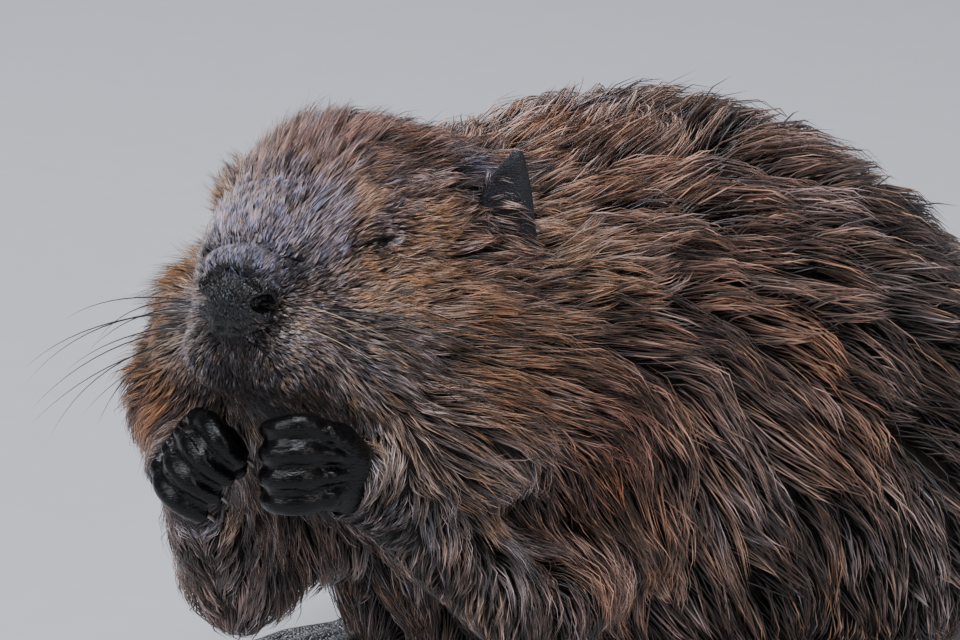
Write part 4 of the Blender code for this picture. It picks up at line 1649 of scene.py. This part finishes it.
SHORT_TUFT = TuftShape((0.0, 0.5), (0.85, 0.9), 0.0, 0.62)
LONG_TUFT = TuftShape((0.0, 0.30, 0.66), (0.75, 1.0, 0.60), 0.12, 0.80)


@dataclass
class Coat:
    """The whole coat: tufts of hairs, drawn together into pointed locks that lie over one another."""

    skin: Skin
    combs: CombField
    stations: int = 7
    tuft_share: float = 0.60  # of its length times its width that a tapered tuft covers
    short_hair: float = 0.024  # shorter ones are made of fewer triangles
    bundle: float = 3.2  # spacing of the bundles of locks, in locks
    wander: Pair = (0.15, 0.11)  # of a bundle and of a lock from the lie of the coat
    length_range: Pair = (0.78, 1.18)
    depth_range: Pair = (0.40, 1.00)
    stand_range: Pair = (0.1, 1.4)
    stand_scale: float = 0.18
    wild_share: float = 0.12  # of the locks
    wildness: Pair = (2.4, 0.8)  # how far the wild locks stand out, and the others
    highest_stand: float = 0.019  # of the end of a hair, above the lie of the coat
    draw: Pair = (0.40, 0.26)  # how far the ends of short locks are drawn together, and long ones more
    draw_lengths: Pair = (0.008, 0.024)  # of the short and of the long locks
    lock_light: Pair = (-0.10, 0.44)  # mean and spread, as powers of e
    lock_warmth: float = 0.10
    root_sunk: float = 0.0008
    loose_share: float = 0.10  # of the hairs
    pale_share: float = 0.18  # of the hairs
    hair_light: Pair = (2.5, 0.74)  # of the pale hairs, and of the others
    hair_light_spread: float = 0.38
    brightest: float = 0.86
    pad_growth: float = 0.22  # how thinly hairs grow on the pad of the nose
    ear_growth: float = 0.45
    lowest: float = 0.0004  # over the floor
    patch: float = 0.003
    most_triangles: int = 195_000
    seed: int = 7
    tree: BVHTree = field(init=False)
    rng: np.random.Generator = field(init=False)
    tufts: Grown = field(init=False)
    locks: Locks = field(init=False)

    LENGTH, DEPTH, WIDTH, LOCK, STAND = range(5)

    def __post_init__(self) -> None:
        """Reads the skin."""
        mesh = self.skin.obj.data
        self.rng = np.random.default_rng(self.seed)
        self.corners = corners(mesh)
        self.triangles = triangles_of(mesh)
        edges = edges_of(mesh)
        self.normals = unit(blurred(normals_of(mesh), edges, 4))
        self.tree = BVHTree.FromPolygons(self.corners.tolist(), self.triangles.tolist())
        furred = blurred((self.skin.labels == Part.FUR.value).astype(float), edges, 2)
        self.furred = furred > 0.6
        self.bald = self.bald_spots()

    def bald_spots(self) -> Array:
        """How thickly the coat grows.

        Returns:
            One value for each vertex, 0 where nothing grows.
        """
        marks = self.skin.marks
        growth = self.furred.astype(float)
        from_nose = self.corners - np.array(marks.nose)
        behind = smoothstep(from_nose[:, 1] + 0.6 * from_nose[:, 2], 0.010, 0.016)
        below = smoothstep(-from_nose[:, 2], 0.011, 0.018)
        pad = self.skin.labels == Part.NOSE.value
        growth[pad] = np.maximum(np.maximum(behind, below), self.pad_growth)[pad]
        for crease in nose_creases(marks):
            path = laid_on(self.corners, crease)
            growth *= smoothstep(path_distance(self.corners, path), 0.0003, 0.0016)
        for _, side in SIDES:
            nostril = np.array(Placer(marks.nose, side)(*NOSTRIL))
            growth *= smoothstep(np.linalg.norm(self.corners - nostril, axis=1), 0.0050, 0.0066)
        for word, side in SIDES:
            growth *= smoothstep(lid_distance(marks, word, side, self.corners), 0.80, 1.15)
        on_ear = self.skin.labels == Part.EAR.value
        for _, side in SIDES:
            ear = Placer(marks.ear_foot, side, EAR_TURNS[side])
            edge = path_distance(self.corners, [ear(-0.012, -0.003, 0.000), ear(-0.006, -0.003, 0.016)])
            front = self.ear_growth * (1.0 - smoothstep(edge, 0.0020, 0.0070))
            growth[on_ear] = np.maximum(growth, front)[on_ear]
            behind_ear = path_distance(self.corners, [ear(-0.010, 0.004, 0.002), ear(0.010, 0.004, 0.002)])
            before_ear = path_distance(self.corners, [ear(-0.004, -0.006, 0.003), ear(0.012, -0.006, 0.002)])
            growth *= smoothstep(behind_ear, 0.0040, 0.0060) * smoothstep(before_ear, 0.0025, 0.0050)
        growth *= smoothstep(self.corners[:, 2], 0.001, 0.006)
        return growth

    def grown(self, spacing: Array | None) -> Grown:
        """Spreads roots over the furred skin.

        Args:
            spacing: how far apart they are at each triangle, or None for the tufts' own spacing.

        Returns:
            The roots.
        """
        tri = self.corners[self.triangles]
        middles = tri.mean(axis=1)
        areas = np.linalg.norm(np.cross(tri[:, 1] - tri[:, 0], tri[:, 2] - tri[:, 0]), axis=1) / 2
        sizes = self.combs.sizes_at(middles)
        if spacing is None:
            covered = self.tuft_share * sizes[:, self.LENGTH] * sizes[:, self.WIDTH]
            density = self.combs.cover_at(middles) / covered
        else:
            density = 1.0 / spacing ** 2
        wanted = np.cumsum(areas * density * self.bald[self.triangles].mean(axis=1))
        count = int(wanted[-1])
        picks = np.searchsorted(wanted, np.arange(count) + self.rng.uniform(0.0, 1.0, count))
        picks = np.minimum(picks, len(wanted) - 1)
        r1, r2 = np.sqrt(self.rng.uniform(size=count)), self.rng.uniform(size=count)
        shares = np.stack([1 - r1, r1 * (1 - r2), r1 * r2], axis=1)
        points = (tri[picks] * shares[:, :, None]).sum(axis=1)
        normals = unit((self.normals[self.triangles[picks]] * shares[:, :, None]).sum(axis=1))
        return Grown(points, normals, picks, shares, self.combs.sizes_at(points))

    def lock_spacing(self) -> Array:
        """The spacing of the locks at each triangle."""
        middles = self.corners[self.triangles].mean(axis=1)
        return self.combs.sizes_at(middles)[:, self.LOCK]

    def combed(self, roots: Grown, wander: float) -> Locks:
        """Leads a path from each root along the body.

        Args:
            roots: where the paths begin.
            wander: how far the paths turn from the lie of the coat.

        Returns:
            The paths.
        """
        count = len(roots.points)
        length = roots.sizes[:, self.LENGTH] * self.rng.uniform(*self.length_range, count)
        height = roots.sizes[:, self.DEPTH] * self.rng.uniform(*self.depth_range, count)
        wild = np.where(self.rng.uniform(size=count) < self.wild_share, *self.wildness)
        stand = roots.sizes[:, self.STAND] * length * self.stand_scale
        stand = np.minimum(stand * self.rng.uniform(*self.stand_range, count) * wild, self.highest_stand)
        turn = self.rng.normal(0.0, wander, count)
        sway = self.rng.normal(0.0, wander * 0.8, count)
        phase = self.rng.uniform(0.0, 2 * math.pi, count)
        on_skin, normals = roots.points.copy(), roots.normals.copy()
        paths, ups = [on_skin - normals * self.root_sunk], [normals]
        for k in range(1, self.stations):
            t = k / (self.stations - 1)
            ways = self.combs.way_at(on_skin, normals)
            across = np.cross(ways, normals)
            bend = turn + sway * np.sin(phase + t * 5.0)
            ways = unit(ways + across * bend[:, None])
            stepped = on_skin + ways * (length / (self.stations - 1))[:, None]
            found = [self.tree.find_nearest(point) for point in stepped.tolist()]
            on_skin = np.array([hit[0] for hit in found])
            fresh = np.array([hit[1] for hit in found])
            normals = unit(normals * 0.55 + fresh * 0.45)
            rise = height * (1.0 - (1.0 - t) ** 3.4) + stand * t ** 2
            paths.append(on_skin + normals * rise[:, None])
            ups.append(normals)
        tones = self.lock_tones(roots.points)
        return Locks(roots.points, np.stack(paths, axis=1), np.stack(ups, axis=1), tones, length)

    def lock_tones(self, points: Array) -> Array:
        """The colour of the ends of each lock: some are paler or redder than their place.

        Args:
            points: the roots of the locks.

        Returns:
            One colour for each lock.
        """
        tones = self.combs.tone_at(points)
        count = len(points)
        light = np.exp(self.rng.normal(*self.lock_light, count))[:, None]
        warm = self.rng.normal(0.0, self.lock_warmth, count)[:, None]
        return tones * light * (1.0 + warm * WARMER)

    def drawn_together(self, locks: Locks, bundles: Locks) -> Locks:
        """Draws the ends of the locks towards the bundle that each belongs to.

        Args:
            locks: the locks, which are changed.
            bundles: the paths of the bundles.

        Returns:
            The locks.
        """
        owner = nearest_rows(locks.roots, bundles.roots)
        locks.tones *= (bundles.tones / self.combs.tone_at(bundles.roots))[owner]
        t = np.linspace(0.0, 1.0, self.stations)
        drawn = self.draw[0] + self.draw[1] * smoothstep(locks.lengths, *self.draw_lengths)
        pull = (drawn[:, None] * t ** 1.3)[:, :, None]
        locks.paths = locks.paths * (1 - pull) + bundles.paths[owner] * pull
        return locks

    def build(self, material: Material) -> list[Object]:
        """Grows the whole coat.

        Args:
            material: the finish of the hairs.

        Returns:
            The pieces.
        """
        spacing = self.lock_spacing()
        bundles = self.combed(self.grown(spacing * self.bundle), self.wander[0])
        self.locks = self.drawn_together(self.combed(self.grown(spacing), self.wander[1]), bundles)
        self.tufts = self.grown(None)
        points = self.tufts.points
        LOG.info("coat: %d locks, %d tufts", len(self.locks.roots), len(points))
        zones = self.combs.zone_at(points)
        made = []
        for number, zone in enumerate(Zone):
            for word, side in SIDES:
                rows = np.flatnonzero((zones == number) & (np.sign(points[:, 0] + 1e-9) == side))
                made += self.pieces(f"coat_{zone.value}_{word}", rows, material)
        return made

    def pieces(self, name: str, rows: Array, material: Material) -> list[Object]:
        """Makes the pieces of one zone on one side, each small enough.

        Args:
            name: name of the zone.
            rows: the tufts of this zone.
            material: the finish of the hairs.

        Returns:
            The pieces.
        """
        if len(rows) == 0:
            return []
        per_piece = self.most_triangles // LONG_TUFT.triangles
        parts = math.ceil(len(rows) / per_piece)
        rows = rows[np.argsort(self.tufts.points[rows, 1], kind="stable")]
        made = []
        for k, share in enumerate(np.array_split(rows, parts)):
            piece = self.tuft_mesh(f"{name}_{k + 1}" if parts > 1 else name, share)
            piece.data.materials.append(material)
            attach(piece, ROOT_BODY)
            made.append(piece)
        return made

    def tuft_mesh(self, name: str, rows: Array) -> Object:
        """One piece of the coat.

        Args:
            name: its name.
            rows: its tufts.

        Returns:
            The piece, with the colours of its hairs and its map.
        """
        short = self.tufts.sizes[rows, self.LENGTH] < self.short_hair
        order, counts, parts = [], [], []
        for picked, shape in ((rows[short], SHORT_TUFT), (rows[~short], LONG_TUFT)):
            if len(picked):
                order.append(picked)
                counts.append(np.full(len(picked), shape.corners))
                parts.append(self.spindles(picked, shape))
        starts = np.cumsum([0] + [len(part["points"]) for part in parts])
        triangles = np.concatenate([part["triangles"] + start for part, start in zip(parts, starts)])
        joined = {key: np.concatenate([part[key] for part in parts]) for key in parts[0]}
        obj = mesh_object(name, joined["points"], triangles)
        mesh = obj.data
        layer = mesh.color_attributes.new("coat_tone", "FLOAT_COLOR", "POINT")
        layer.data.foreach_set("color", joined["tones"].astype(np.float32).ravel())
        layer = mesh.attributes.new("strand", "FLOAT_VECTOR", "POINT")
        layer.data.foreach_set("vector", joined["strands"].astype(np.float32).ravel())
        self.add_bake_map(mesh, np.concatenate(order), np.concatenate(counts), joined["patch"])
        return obj

    def spindles(self, rows: Array, shape: TuftShape) -> dict[str, Array]:
        """The corners, triangles, colours and pattern places of some tufts.

        Args:
            rows: the tufts that are made.
            shape: how each is built.

        Returns:
            Arrays named points, triangles, tones, strands and patch.
        """
        count = len(rows)
        rng, locks = self.rng, self.locks
        sizes = self.tufts.sizes[rows]
        roots = self.tufts.points[rows]
        jitter = rng.normal(0.0, 1.0, (count, 3)) * (sizes[:, self.LOCK] * 0.22)[:, None]
        owner = nearest_rows(roots + jitter, locks.roots)
        offset = roots - locks.roots[owner]
        reach = rng.uniform(0.62, 1.0, count)
        loose = rng.uniform(size=count) < self.loose_share
        grip = np.where(loose, rng.uniform(0.15, 0.5, count), rng.uniform(0.80, 0.97, count))
        stray = sizes[:, self.LENGTH] * np.where(loose, 0.10, 0.022)
        drift = rng.normal(0.0, 1.0, (count, 3)) * stray[:, None]
        width = sizes[:, self.WIDTH] * rng.uniform(0.7, 1.35, count)
        lift = rng.uniform(-0.25, 0.35, count) * sizes[:, self.DEPTH]
        heights = (*shape.rings, 1.0)
        centres, ups = [], []
        for t in heights:
            along = t * reach * (self.stations - 1)
            k = np.minimum(along.astype(int), self.stations - 2)
            u = (along - k)[:, None]
            place = locks.paths[owner, k] * (1 - u) + locks.paths[owner, k + 1] * u
            up = unit(locks.ups[owner, k] * (1 - u) + locks.ups[owner, k + 1] * u)
            hold = (grip * t ** 0.52)[:, None]
            bulge = (lift * math.sin(math.pi * t * 0.8))[:, None]
            place = place + offset * (1 - hold) + drift * t ** 1.5 + up * bulge
            centres.append(place)
            ups.append(up)
        centres, ups = np.stack(centres, axis=1), np.stack(ups, axis=1)
        tangents = unit(np.gradient(centres, axis=1))
        across = unit(np.cross(tangents, ups))
        ups = np.cross(across, tangents)
        points = np.empty((count, shape.corners, 3))
        strands = np.empty((count, shape.corners, 3))
        tones = np.ones((count, shape.corners, 4))
        patch = np.empty((count, shape.corners, 2))
        seeds = rng.uniform(0.0, 50.0, count)
        pale = np.where(rng.uniform(size=count) < self.pale_share, *self.hair_light)
        tip = locks.tones[owner] * (pale * np.exp(rng.normal(0.0, self.hair_light_spread, count)))[:, None]
        tip *= np.minimum(1.0, self.brightest / tip.max(axis=1))[:, None]
        root = root_tone(tip)
        for i, t in enumerate(heights):
            at_point = i == len(shape.rings)
            shade = smoothstep(np.array([t]), shape.dark_until, shape.coloured_from)[0]
            half = 0.0 if at_point else (width * shape.tapers[i] / 2)[:, None]
            for j, (side, rise) in enumerate(((0.0, 0.0),) if at_point else TuftShape.SIDE_PLACES):
                column = i * 3 + j
                across_strand = 0.5 if at_point else j * 0.5
                points[:, column] = centres[:, i] + across[:, i] * half * side + ups[:, i] * half * rise
                strands[:, column, :2] = (across_strand, t)
                strands[:, column, 2] = seeds
                tones[:, column, :3] = root * (1 - shade) + tip * shade
                patch[:, column] = (across_strand, t)
        points[..., 2] = np.maximum(points[..., 2], self.lowest)
        steps = (np.arange(count) * shape.corners)[:, None, None]
        return {
            "points": points.reshape(-1, 3),
            "triangles": (shape.faces()[None, :, :] + steps).reshape(-1, 3),
            "tones": tones.reshape(-1, 4),
            "strands": strands.reshape(-1, 3),
            "patch": patch.reshape(-1, 2),
        }

    def add_bake_map(self, mesh: Mesh, rows: Array, counts: Array, patch: Array) -> None:
        """Maps each tuft to a small patch at its root's place on an unwrap of the skin.

        Args:
            mesh: the piece.
            rows: its tufts, in the order of its corners.
            counts: how many corners each of them has.
            patch: the place of each corner within its patch.
        """
        used, face_rows = np.unique(self.tufts.faces[rows], return_inverse=True)
        unwrap = self.unwrapped(used)
        roots = (unwrap[face_rows.ravel()] * self.tufts.shares[rows][:, :, None]).sum(axis=1)
        places = np.repeat(roots, counts, axis=0) + (patch - 0.5) * self.patch
        places = np.clip(places[loop_corners(mesh)], 0.0, 1.0)
        layer = mesh.uv_layers.new(name=BAKE_MAP)
        layer.data.foreach_set("uv", places.astype(np.float32).ravel())

    def unwrapped(self, faces: Array) -> Array:
        """Unwraps some triangles of the skin.

        Args:
            faces: their numbers.

        Returns:
            The map places of the three corners of each.
        """
        used, renumbered = np.unique(self.triangles[faces], return_inverse=True)
        obj = mesh_object("unwrap", self.corners[used], renumbered.reshape(-1, 3))
        bpy.ops.object.select_all(action="DESELECT")
        obj.select_set(True)
        bpy.context.view_layer.objects.active = obj
        bpy.ops.object.mode_set(mode="EDIT")
        bpy.ops.mesh.select_all(action="SELECT")
        bpy.ops.uv.smart_project(angle_limit=1.15, island_margin=0.004, scale_to_bounds=True)
        bpy.ops.object.mode_set(mode="OBJECT")
        mesh = obj.data
        places = rows_of(mesh.uv_layers.active.data, "uv", 2, np.float32)
        bpy.data.objects.remove(obj)
        bpy.data.meshes.remove(mesh)
        return places.reshape(-1, 3, 2).astype(float)


@dataclass
class Studio:
    """Camera, lights and floor."""

    marks: Landmarks
    azimuth: float = 30.0  # degrees round the beaver's left, from straight ahead
    elevation: float = 11.5
    distance: float = 5.0
    lens_mm: float = 453.75
    aim_right: float = 0.1054  # of the nose, in the plane of the view
    aim_down: float = 0.0083
    floor_size: float = 80.0

    def build(self) -> None:
        """Sets the whole studio up."""
        self.camera()
        self.floor()
        self.light("key", (0.5, -0.8, 2.6), 1.3, 66.0, (0.90, 0.93, 1.0))
        self.light("front", (-0.6, -1.9, 1.5), 1.4, 36.0, (0.90, 0.93, 1.0))
        self.light("side", (2.4, -1.0, 1.2), 1.0, 16.0, (1.0, 0.95, 0.88))
        self.light("rim", (-1.4, 1.5, 2.0), 1.2, 40.0, (0.84, 0.88, 1.0))
        world = bpy.data.worlds.new("studio")
        world.use_nodes = True
        world.node_tree.nodes["Background"].inputs["Color"].default_value = (0.80, 0.84, 0.92, 1.0)
        world.node_tree.nodes["Background"].inputs["Strength"].default_value = 0.13
        bpy.context.scene.world = world

    def camera(self) -> None:
        """A long lens at the viewing angle, with the nose left of the middle."""
        a, e = math.radians(self.azimuth), math.radians(self.elevation)
        back = Vector((math.sin(a) * math.cos(e), -math.cos(a) * math.cos(e), math.sin(e)))
        right = Vector((math.cos(a), math.sin(a), 0.0))
        upward = back.cross(right)
        place = self.marks.nose + back * self.distance
        aim = self.marks.nose + right * self.aim_right - upward * self.aim_down
        data = bpy.data.cameras.new("camera")
        data.lens = self.lens_mm
        data.sensor_width = 36.0
        data.clip_end = 60.0
        camera = bpy.data.objects.new("camera", data)
        camera.location = place
        camera.rotation_euler = (aim - place).to_track_quat("-Z", "Y").to_euler()
        bpy.context.scene.collection.objects.link(camera)
        bpy.context.scene.camera = camera

    def light(self, name: str, place: Triple, size: float, power: float, colour: Triple) -> None:
        """A soft square lamp that shines at the animal.

        Args:
            name: its name.
            place: where it hangs.
            size: of its side.
            power: in watts.
            colour: of its light.
        """
        data = bpy.data.lights.new(name, "AREA")
        data.size = size
        data.energy = power
        data.color = colour
        lamp = bpy.data.objects.new(name, data)
        lamp.location = place
        lamp.rotation_euler = (Vector(place) - Vector((0.0, 0.0, 0.15))).to_track_quat("Z", "Y").to_euler()
        lamp.visible_camera = False
        bpy.context.scene.collection.objects.link(lamp)

    def floor(self) -> None:
        """A plain pale floor."""
        bm = bmesh.new()
        bmesh.ops.create_grid(bm, x_segments=1, y_segments=1, size=self.floor_size / 2)
        floor = new_object("floor", bm)
        made = Nodes("floor")
        grain = made.noise(made.places(), 40.0)
        made.surface(Base_Color=made.mixed(grain, (0.56, 0.56, 0.57), (0.60, 0.60, 0.61)), Roughness=0.9)
        floor.data.materials.append(made.material)
        floor.location.z = -0.0002


def close_spike(bm: BMesh, rings: list[list[BMVert]], tip: Vector) -> None:
    """Joins rings of corners by faces, with a flat end before the first and a point after the last.

    Args:
        bm: what the rings are in.
        rings: the corners of each ring, in order round it.
        tip: place of the point.
    """
    point = bm.verts.new(tip)
    around = len(rings[0])
    for k in range(around):
        n = (k + 1) % around
        for ring, following in zip(rings, rings[1:]):
            bm.faces.new((ring[k], following[k], following[n], ring[n]))
        bm.faces.new((rings[-1][k], point, rings[-1][n]))
    bm.faces.new(rings[0])


@dataclass
class Eyes:
    """The two eyeballs, most of each behind its lids."""

    marks: Landmarks

    def build(self) -> None:
        """Makes both."""
        for word, _ in SIDES:
            place = Matrix.Translation(self.marks.eyes[word])
            radius = self.marks.eye_radius
            bm = bmesh.new()
            bmesh.ops.create_uvsphere(bm, u_segments=48, v_segments=32, radius=radius, matrix=place)
            eye = new_object("eyeball_" + word, bm)
            eye.data.shade_smooth()
            eye.data.materials.append(EYE_FINISH.material())
            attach(eye, ROOT_BODY)
            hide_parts("eye_" + word)


@dataclass
class Claw:
    """One curved claw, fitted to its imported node."""

    node: Object
    around: int = 14
    steps: int = 10
    root_share: float = 0.90  # of its length that the corners at its root are beyond
    arch: float = 0.55
    belly: float = 0.55  # of the depth of its back
    thinning: float = 0.25

    def build(self, material: Material) -> None:
        """Makes the claw.

        Args:
            material: its finish.
        """
        name = self.node.name
        points = corners(self.node.data)
        away = np.linalg.norm(points[:, None] - points[None, :], axis=2)
        tip = points[away.mean(axis=1).argmax()]
        far = np.linalg.norm(points - tip, axis=1)
        root = points[far > far.max() * self.root_share].mean(axis=0)
        forward = Vector(tip - root)
        length = forward.length
        forward.normalize()
        across = forward.cross(UP).normalized()
        lift = across.cross(forward).normalized()
        wide = float(np.ptp(points @ np.array(across))) / 2
        deep = float(np.ptp(points @ np.array(lift))) / 2
        bm = bmesh.new()
        rings = []
        for i in range(self.steps):
            t = i / self.steps
            arch = lift * (deep * self.arch * math.sin(math.pi * t))
            centre = Vector(root) + forward * (length * t) + arch
            taper = math.sqrt(1 - t * t) * (1 - self.thinning * t)
            ring = []
            for k in range(self.around):
                turn = 2 * math.pi * k / self.around
                rise = math.sin(turn) * (1.0 if math.sin(turn) > 0 else self.belly)
                out = across * (wide * math.cos(turn)) + lift * (deep * rise)
                ring.append(bm.verts.new(centre + out * taper))
            rings.append(ring)
        close_spike(bm, rings, Vector(tip))
        bmesh.ops.recalc_face_normals(bm, faces=bm.faces[:])
        for vert in bm.verts:
            vert.co.z = max(vert.co.z, 0.0)
        claw = new_object("horn_" + name, bm)
        claw.data.shade_smooth()
        claw.data.materials.append(material)
        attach(claw, ROOT_BODY)
        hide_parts(name)


@dataclass
class Whiskers:
    """Long curved whiskers on both pads, most of them black and some pale."""

    marks: Landmarks
    name: str
    count: int
    length: tuple[float, float]
    radius: float
    seed: int
    around: int = 5
    steps: int = 12

    def build(self, material: Material) -> None:
        """Makes the whiskers of both sides as one piece.

        Args:
            material: their finish.
        """
        rng = np.random.default_rng(self.seed)
        bm = bmesh.new()
        for _, side in SIDES:
            at = Placer(self.marks.nose, side)
            for _ in range(self.count):
                row, place = rng.uniform(-1, 1), rng.uniform(0, 1)
                root = at(0.020 + 0.008 * place, 0.022 + 0.014 * place, -0.016 + 0.012 * row)
                way = mirrored((1.0, rng.uniform(-0.25, 0.35), 0.18 * row - 0.12), side).normalized()
                self.whisker(bm, root, way, side, rng)
        obj = new_object(self.name, bm)
        obj.data.shade_smooth()
        obj.data.materials.append(material)
        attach(obj, ROOT_BODY)

    def whisker(
        self, bm: BMesh, root: Vector, way: Vector, side: float, rng: np.random.Generator
    ) -> None:
        """Adds one whisker.

        Args:
            bm: what it is added to.
            root: where it leaves the pad.
            way: its direction there.
            side: 1 on the left, -1 on the right.
            rng: where its length and bend come from.
        """
        length = rng.uniform(*self.length)
        bend = mirrored((-0.25, rng.uniform(0.1, 0.6), -rng.uniform(0.35, 0.75)), side)
        rings = []
        for i in range(self.steps):
            t = i / self.steps
            centre = root + way * (length * t) + bend * (length * 0.5 * t * t)
            tangent = (way + bend * t).normalized()
            across = tangent.cross(UP).normalized()
            lift = across.cross(tangent)
            radius = self.radius * (1 - t) ** 0.8
            ring = []
            for k in range(self.around):
                turn = 2 * math.pi * k / self.around
                out = across * math.cos(turn) + lift * math.sin(turn)
                ring.append(bm.verts.new(centre + out * radius))
            rings.append(ring)
        close_spike(bm, rings, root + way * length + bend * (length * 0.5))


@dataclass
class TailScales:
    """The horny scales on top of the tail, in rows that overlap towards its tip."""

    skin: Skin
    marks: Landmarks
    length: float = 0.0058
    width: float = 0.0053
    sunk: float = 0.0005
    raised: float = 0.00055
    overlap: float = 0.20  # of its length that lies under the row before
    scatter: Pair = (0.00022, 0.0003)  # across and along
    margin: float = 0.012  # from the root of the tail to the first row
    end_margin: float = 0.002
    lowest: float = 0.0015
    steepest: float = 0.25  # upward part of the normal that a scale still lies on
    rim: float = 0.84  # of the top of a scale against its foot
    corners: int = 8
    seed: int = 31

    def build(self, material: Material) -> None:
        """Lays the scales as one piece.

        Args:
            material: their finish.
        """
        rng = np.random.default_rng(self.seed)
        mesh = self.skin.obj.data
        tree = BVHTree.FromPolygons(corners(mesh).tolist(), triangles_of(mesh).tolist())
        low, high = self.marks.tail_low, self.marks.tail_high
        pitch = self.length * (1.0 - self.overlap)
        rows = int((high.y - low.y) / pitch)
        columns = int((high.x - low.x) / self.width) + 2
        bm = bmesh.new()
        for i in range(rows):
            for j in range(-columns // 2, columns // 2 + 1):
                x = (j + 0.5 * (i % 2)) * self.width + rng.normal(0.0, self.scatter[0])
                y = low.y + self.margin + pitch * i + rng.normal(0.0, self.scatter[1])
                hit, normal, _, _ = tree.ray_cast(Vector((x, y, high.z + 0.05)), -UP)
                if hit is None or normal.z < self.steepest:
                    continue
                if hit.z < self.lowest or hit.y > high.y - self.end_margin:
                    continue
                self.scale(bm, hit, normal, rng.uniform(0.9, 1.08))
        obj = new_object("tail_scales", bm)
        obj.data.shade_smooth()
        obj.data.materials.append(material)
        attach(obj, ROOT_BODY)

    def scale(self, bm: BMesh, place: Vector, normal: Vector, size: float) -> None:
        """Adds one eight-sided scale, higher at its hind edge.

        Args:
            bm: what it is added to.
            place: its middle, on the skin.
            normal: of the skin there.
            size: against that of the others.
        """
        back = Vector((0.0, 1.0, 0.0))
        back = (back - normal * back.dot(normal)).normalized()
        across = back.cross(normal)
        base, top = [], []
        for k in range(self.corners):
            turn = 2 * math.pi * (k + 0.5) / self.corners
            x = math.cos(turn) * self.width * 0.53 * size
            y = math.sin(turn) * self.length * 0.55 * size
            rear = 0.5 + 0.5 * math.sin(turn)
            height = self.raised * (0.15 + 0.85 * rear)
            base.append(bm.verts.new(place + across * x + back * y - normal * self.sunk))
            edge = place + across * (x * self.rim) + back * (y * self.rim)
            top.append(bm.verts.new(edge + normal * height))
        crown = bm.verts.new(place - back * (self.length * 0.05) + normal * (self.raised * 0.95))
        for k in range(self.corners):
            n = (k + 1) % self.corners
            bm.faces.new((base[k], top[k], top[n], base[n]))
            bm.faces.new((top[k], crown, top[n]))
        bm.faces.new(base)


def main() -> None:
    """Dresses the frame, piece by piece."""
    logging.basicConfig(level=logging.INFO, format="%(name)s: %(message)s")
    for obj in list(bpy.data.objects):
        bpy.data.objects.remove(obj)
    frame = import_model()
    marks = Landmarks()
    Studio(marks).build()
    combs = CombField(COMBS, marks)
    skin = Skin(frame, marks, combs)
    skin.build()
    skin.dress({
        Part.FUR: UnderfurFinish().material(),
        Part.NOSE: NOSE_FINISH.material(),
        Part.EAR: EAR_FINISH.material(),
        Part.HAND: HAND_FINISH.material(),
        Part.FOOT: FOOT_FINISH.material(),
        Part.TAIL: TAIL_FINISH.material(),
        Part.LID: LID_FINISH.material(),
    })
    LOG.info("skin dressed")
    Eyes(marks).build()
    horn = HORN_FINISH.material()
    for name, node in frame["nodes"].items():
        if name.startswith("claw_"):
            Claw(node).build(horn)
    dark_ones = Whiskers(marks, "whiskers_dark", 13, (0.066, 0.128), 0.00044, 41)
    dark_ones.build(DARK_WHISKER_FINISH.material())
    pale_ones = Whiskers(marks, "whiskers_pale", 5, (0.030, 0.055), 0.00028, 43)
    pale_ones.build(PALE_WHISKER_FINISH.material())
    TailScales(skin, marks).build(SCALE_FINISH.material())
    LOG.info("eyes, claws, whiskers and scales made")
    Coat(skin, combs).build(FurFinish().material())
    LOG.info("coat grown")


if __name__ == "__main__":
    main()
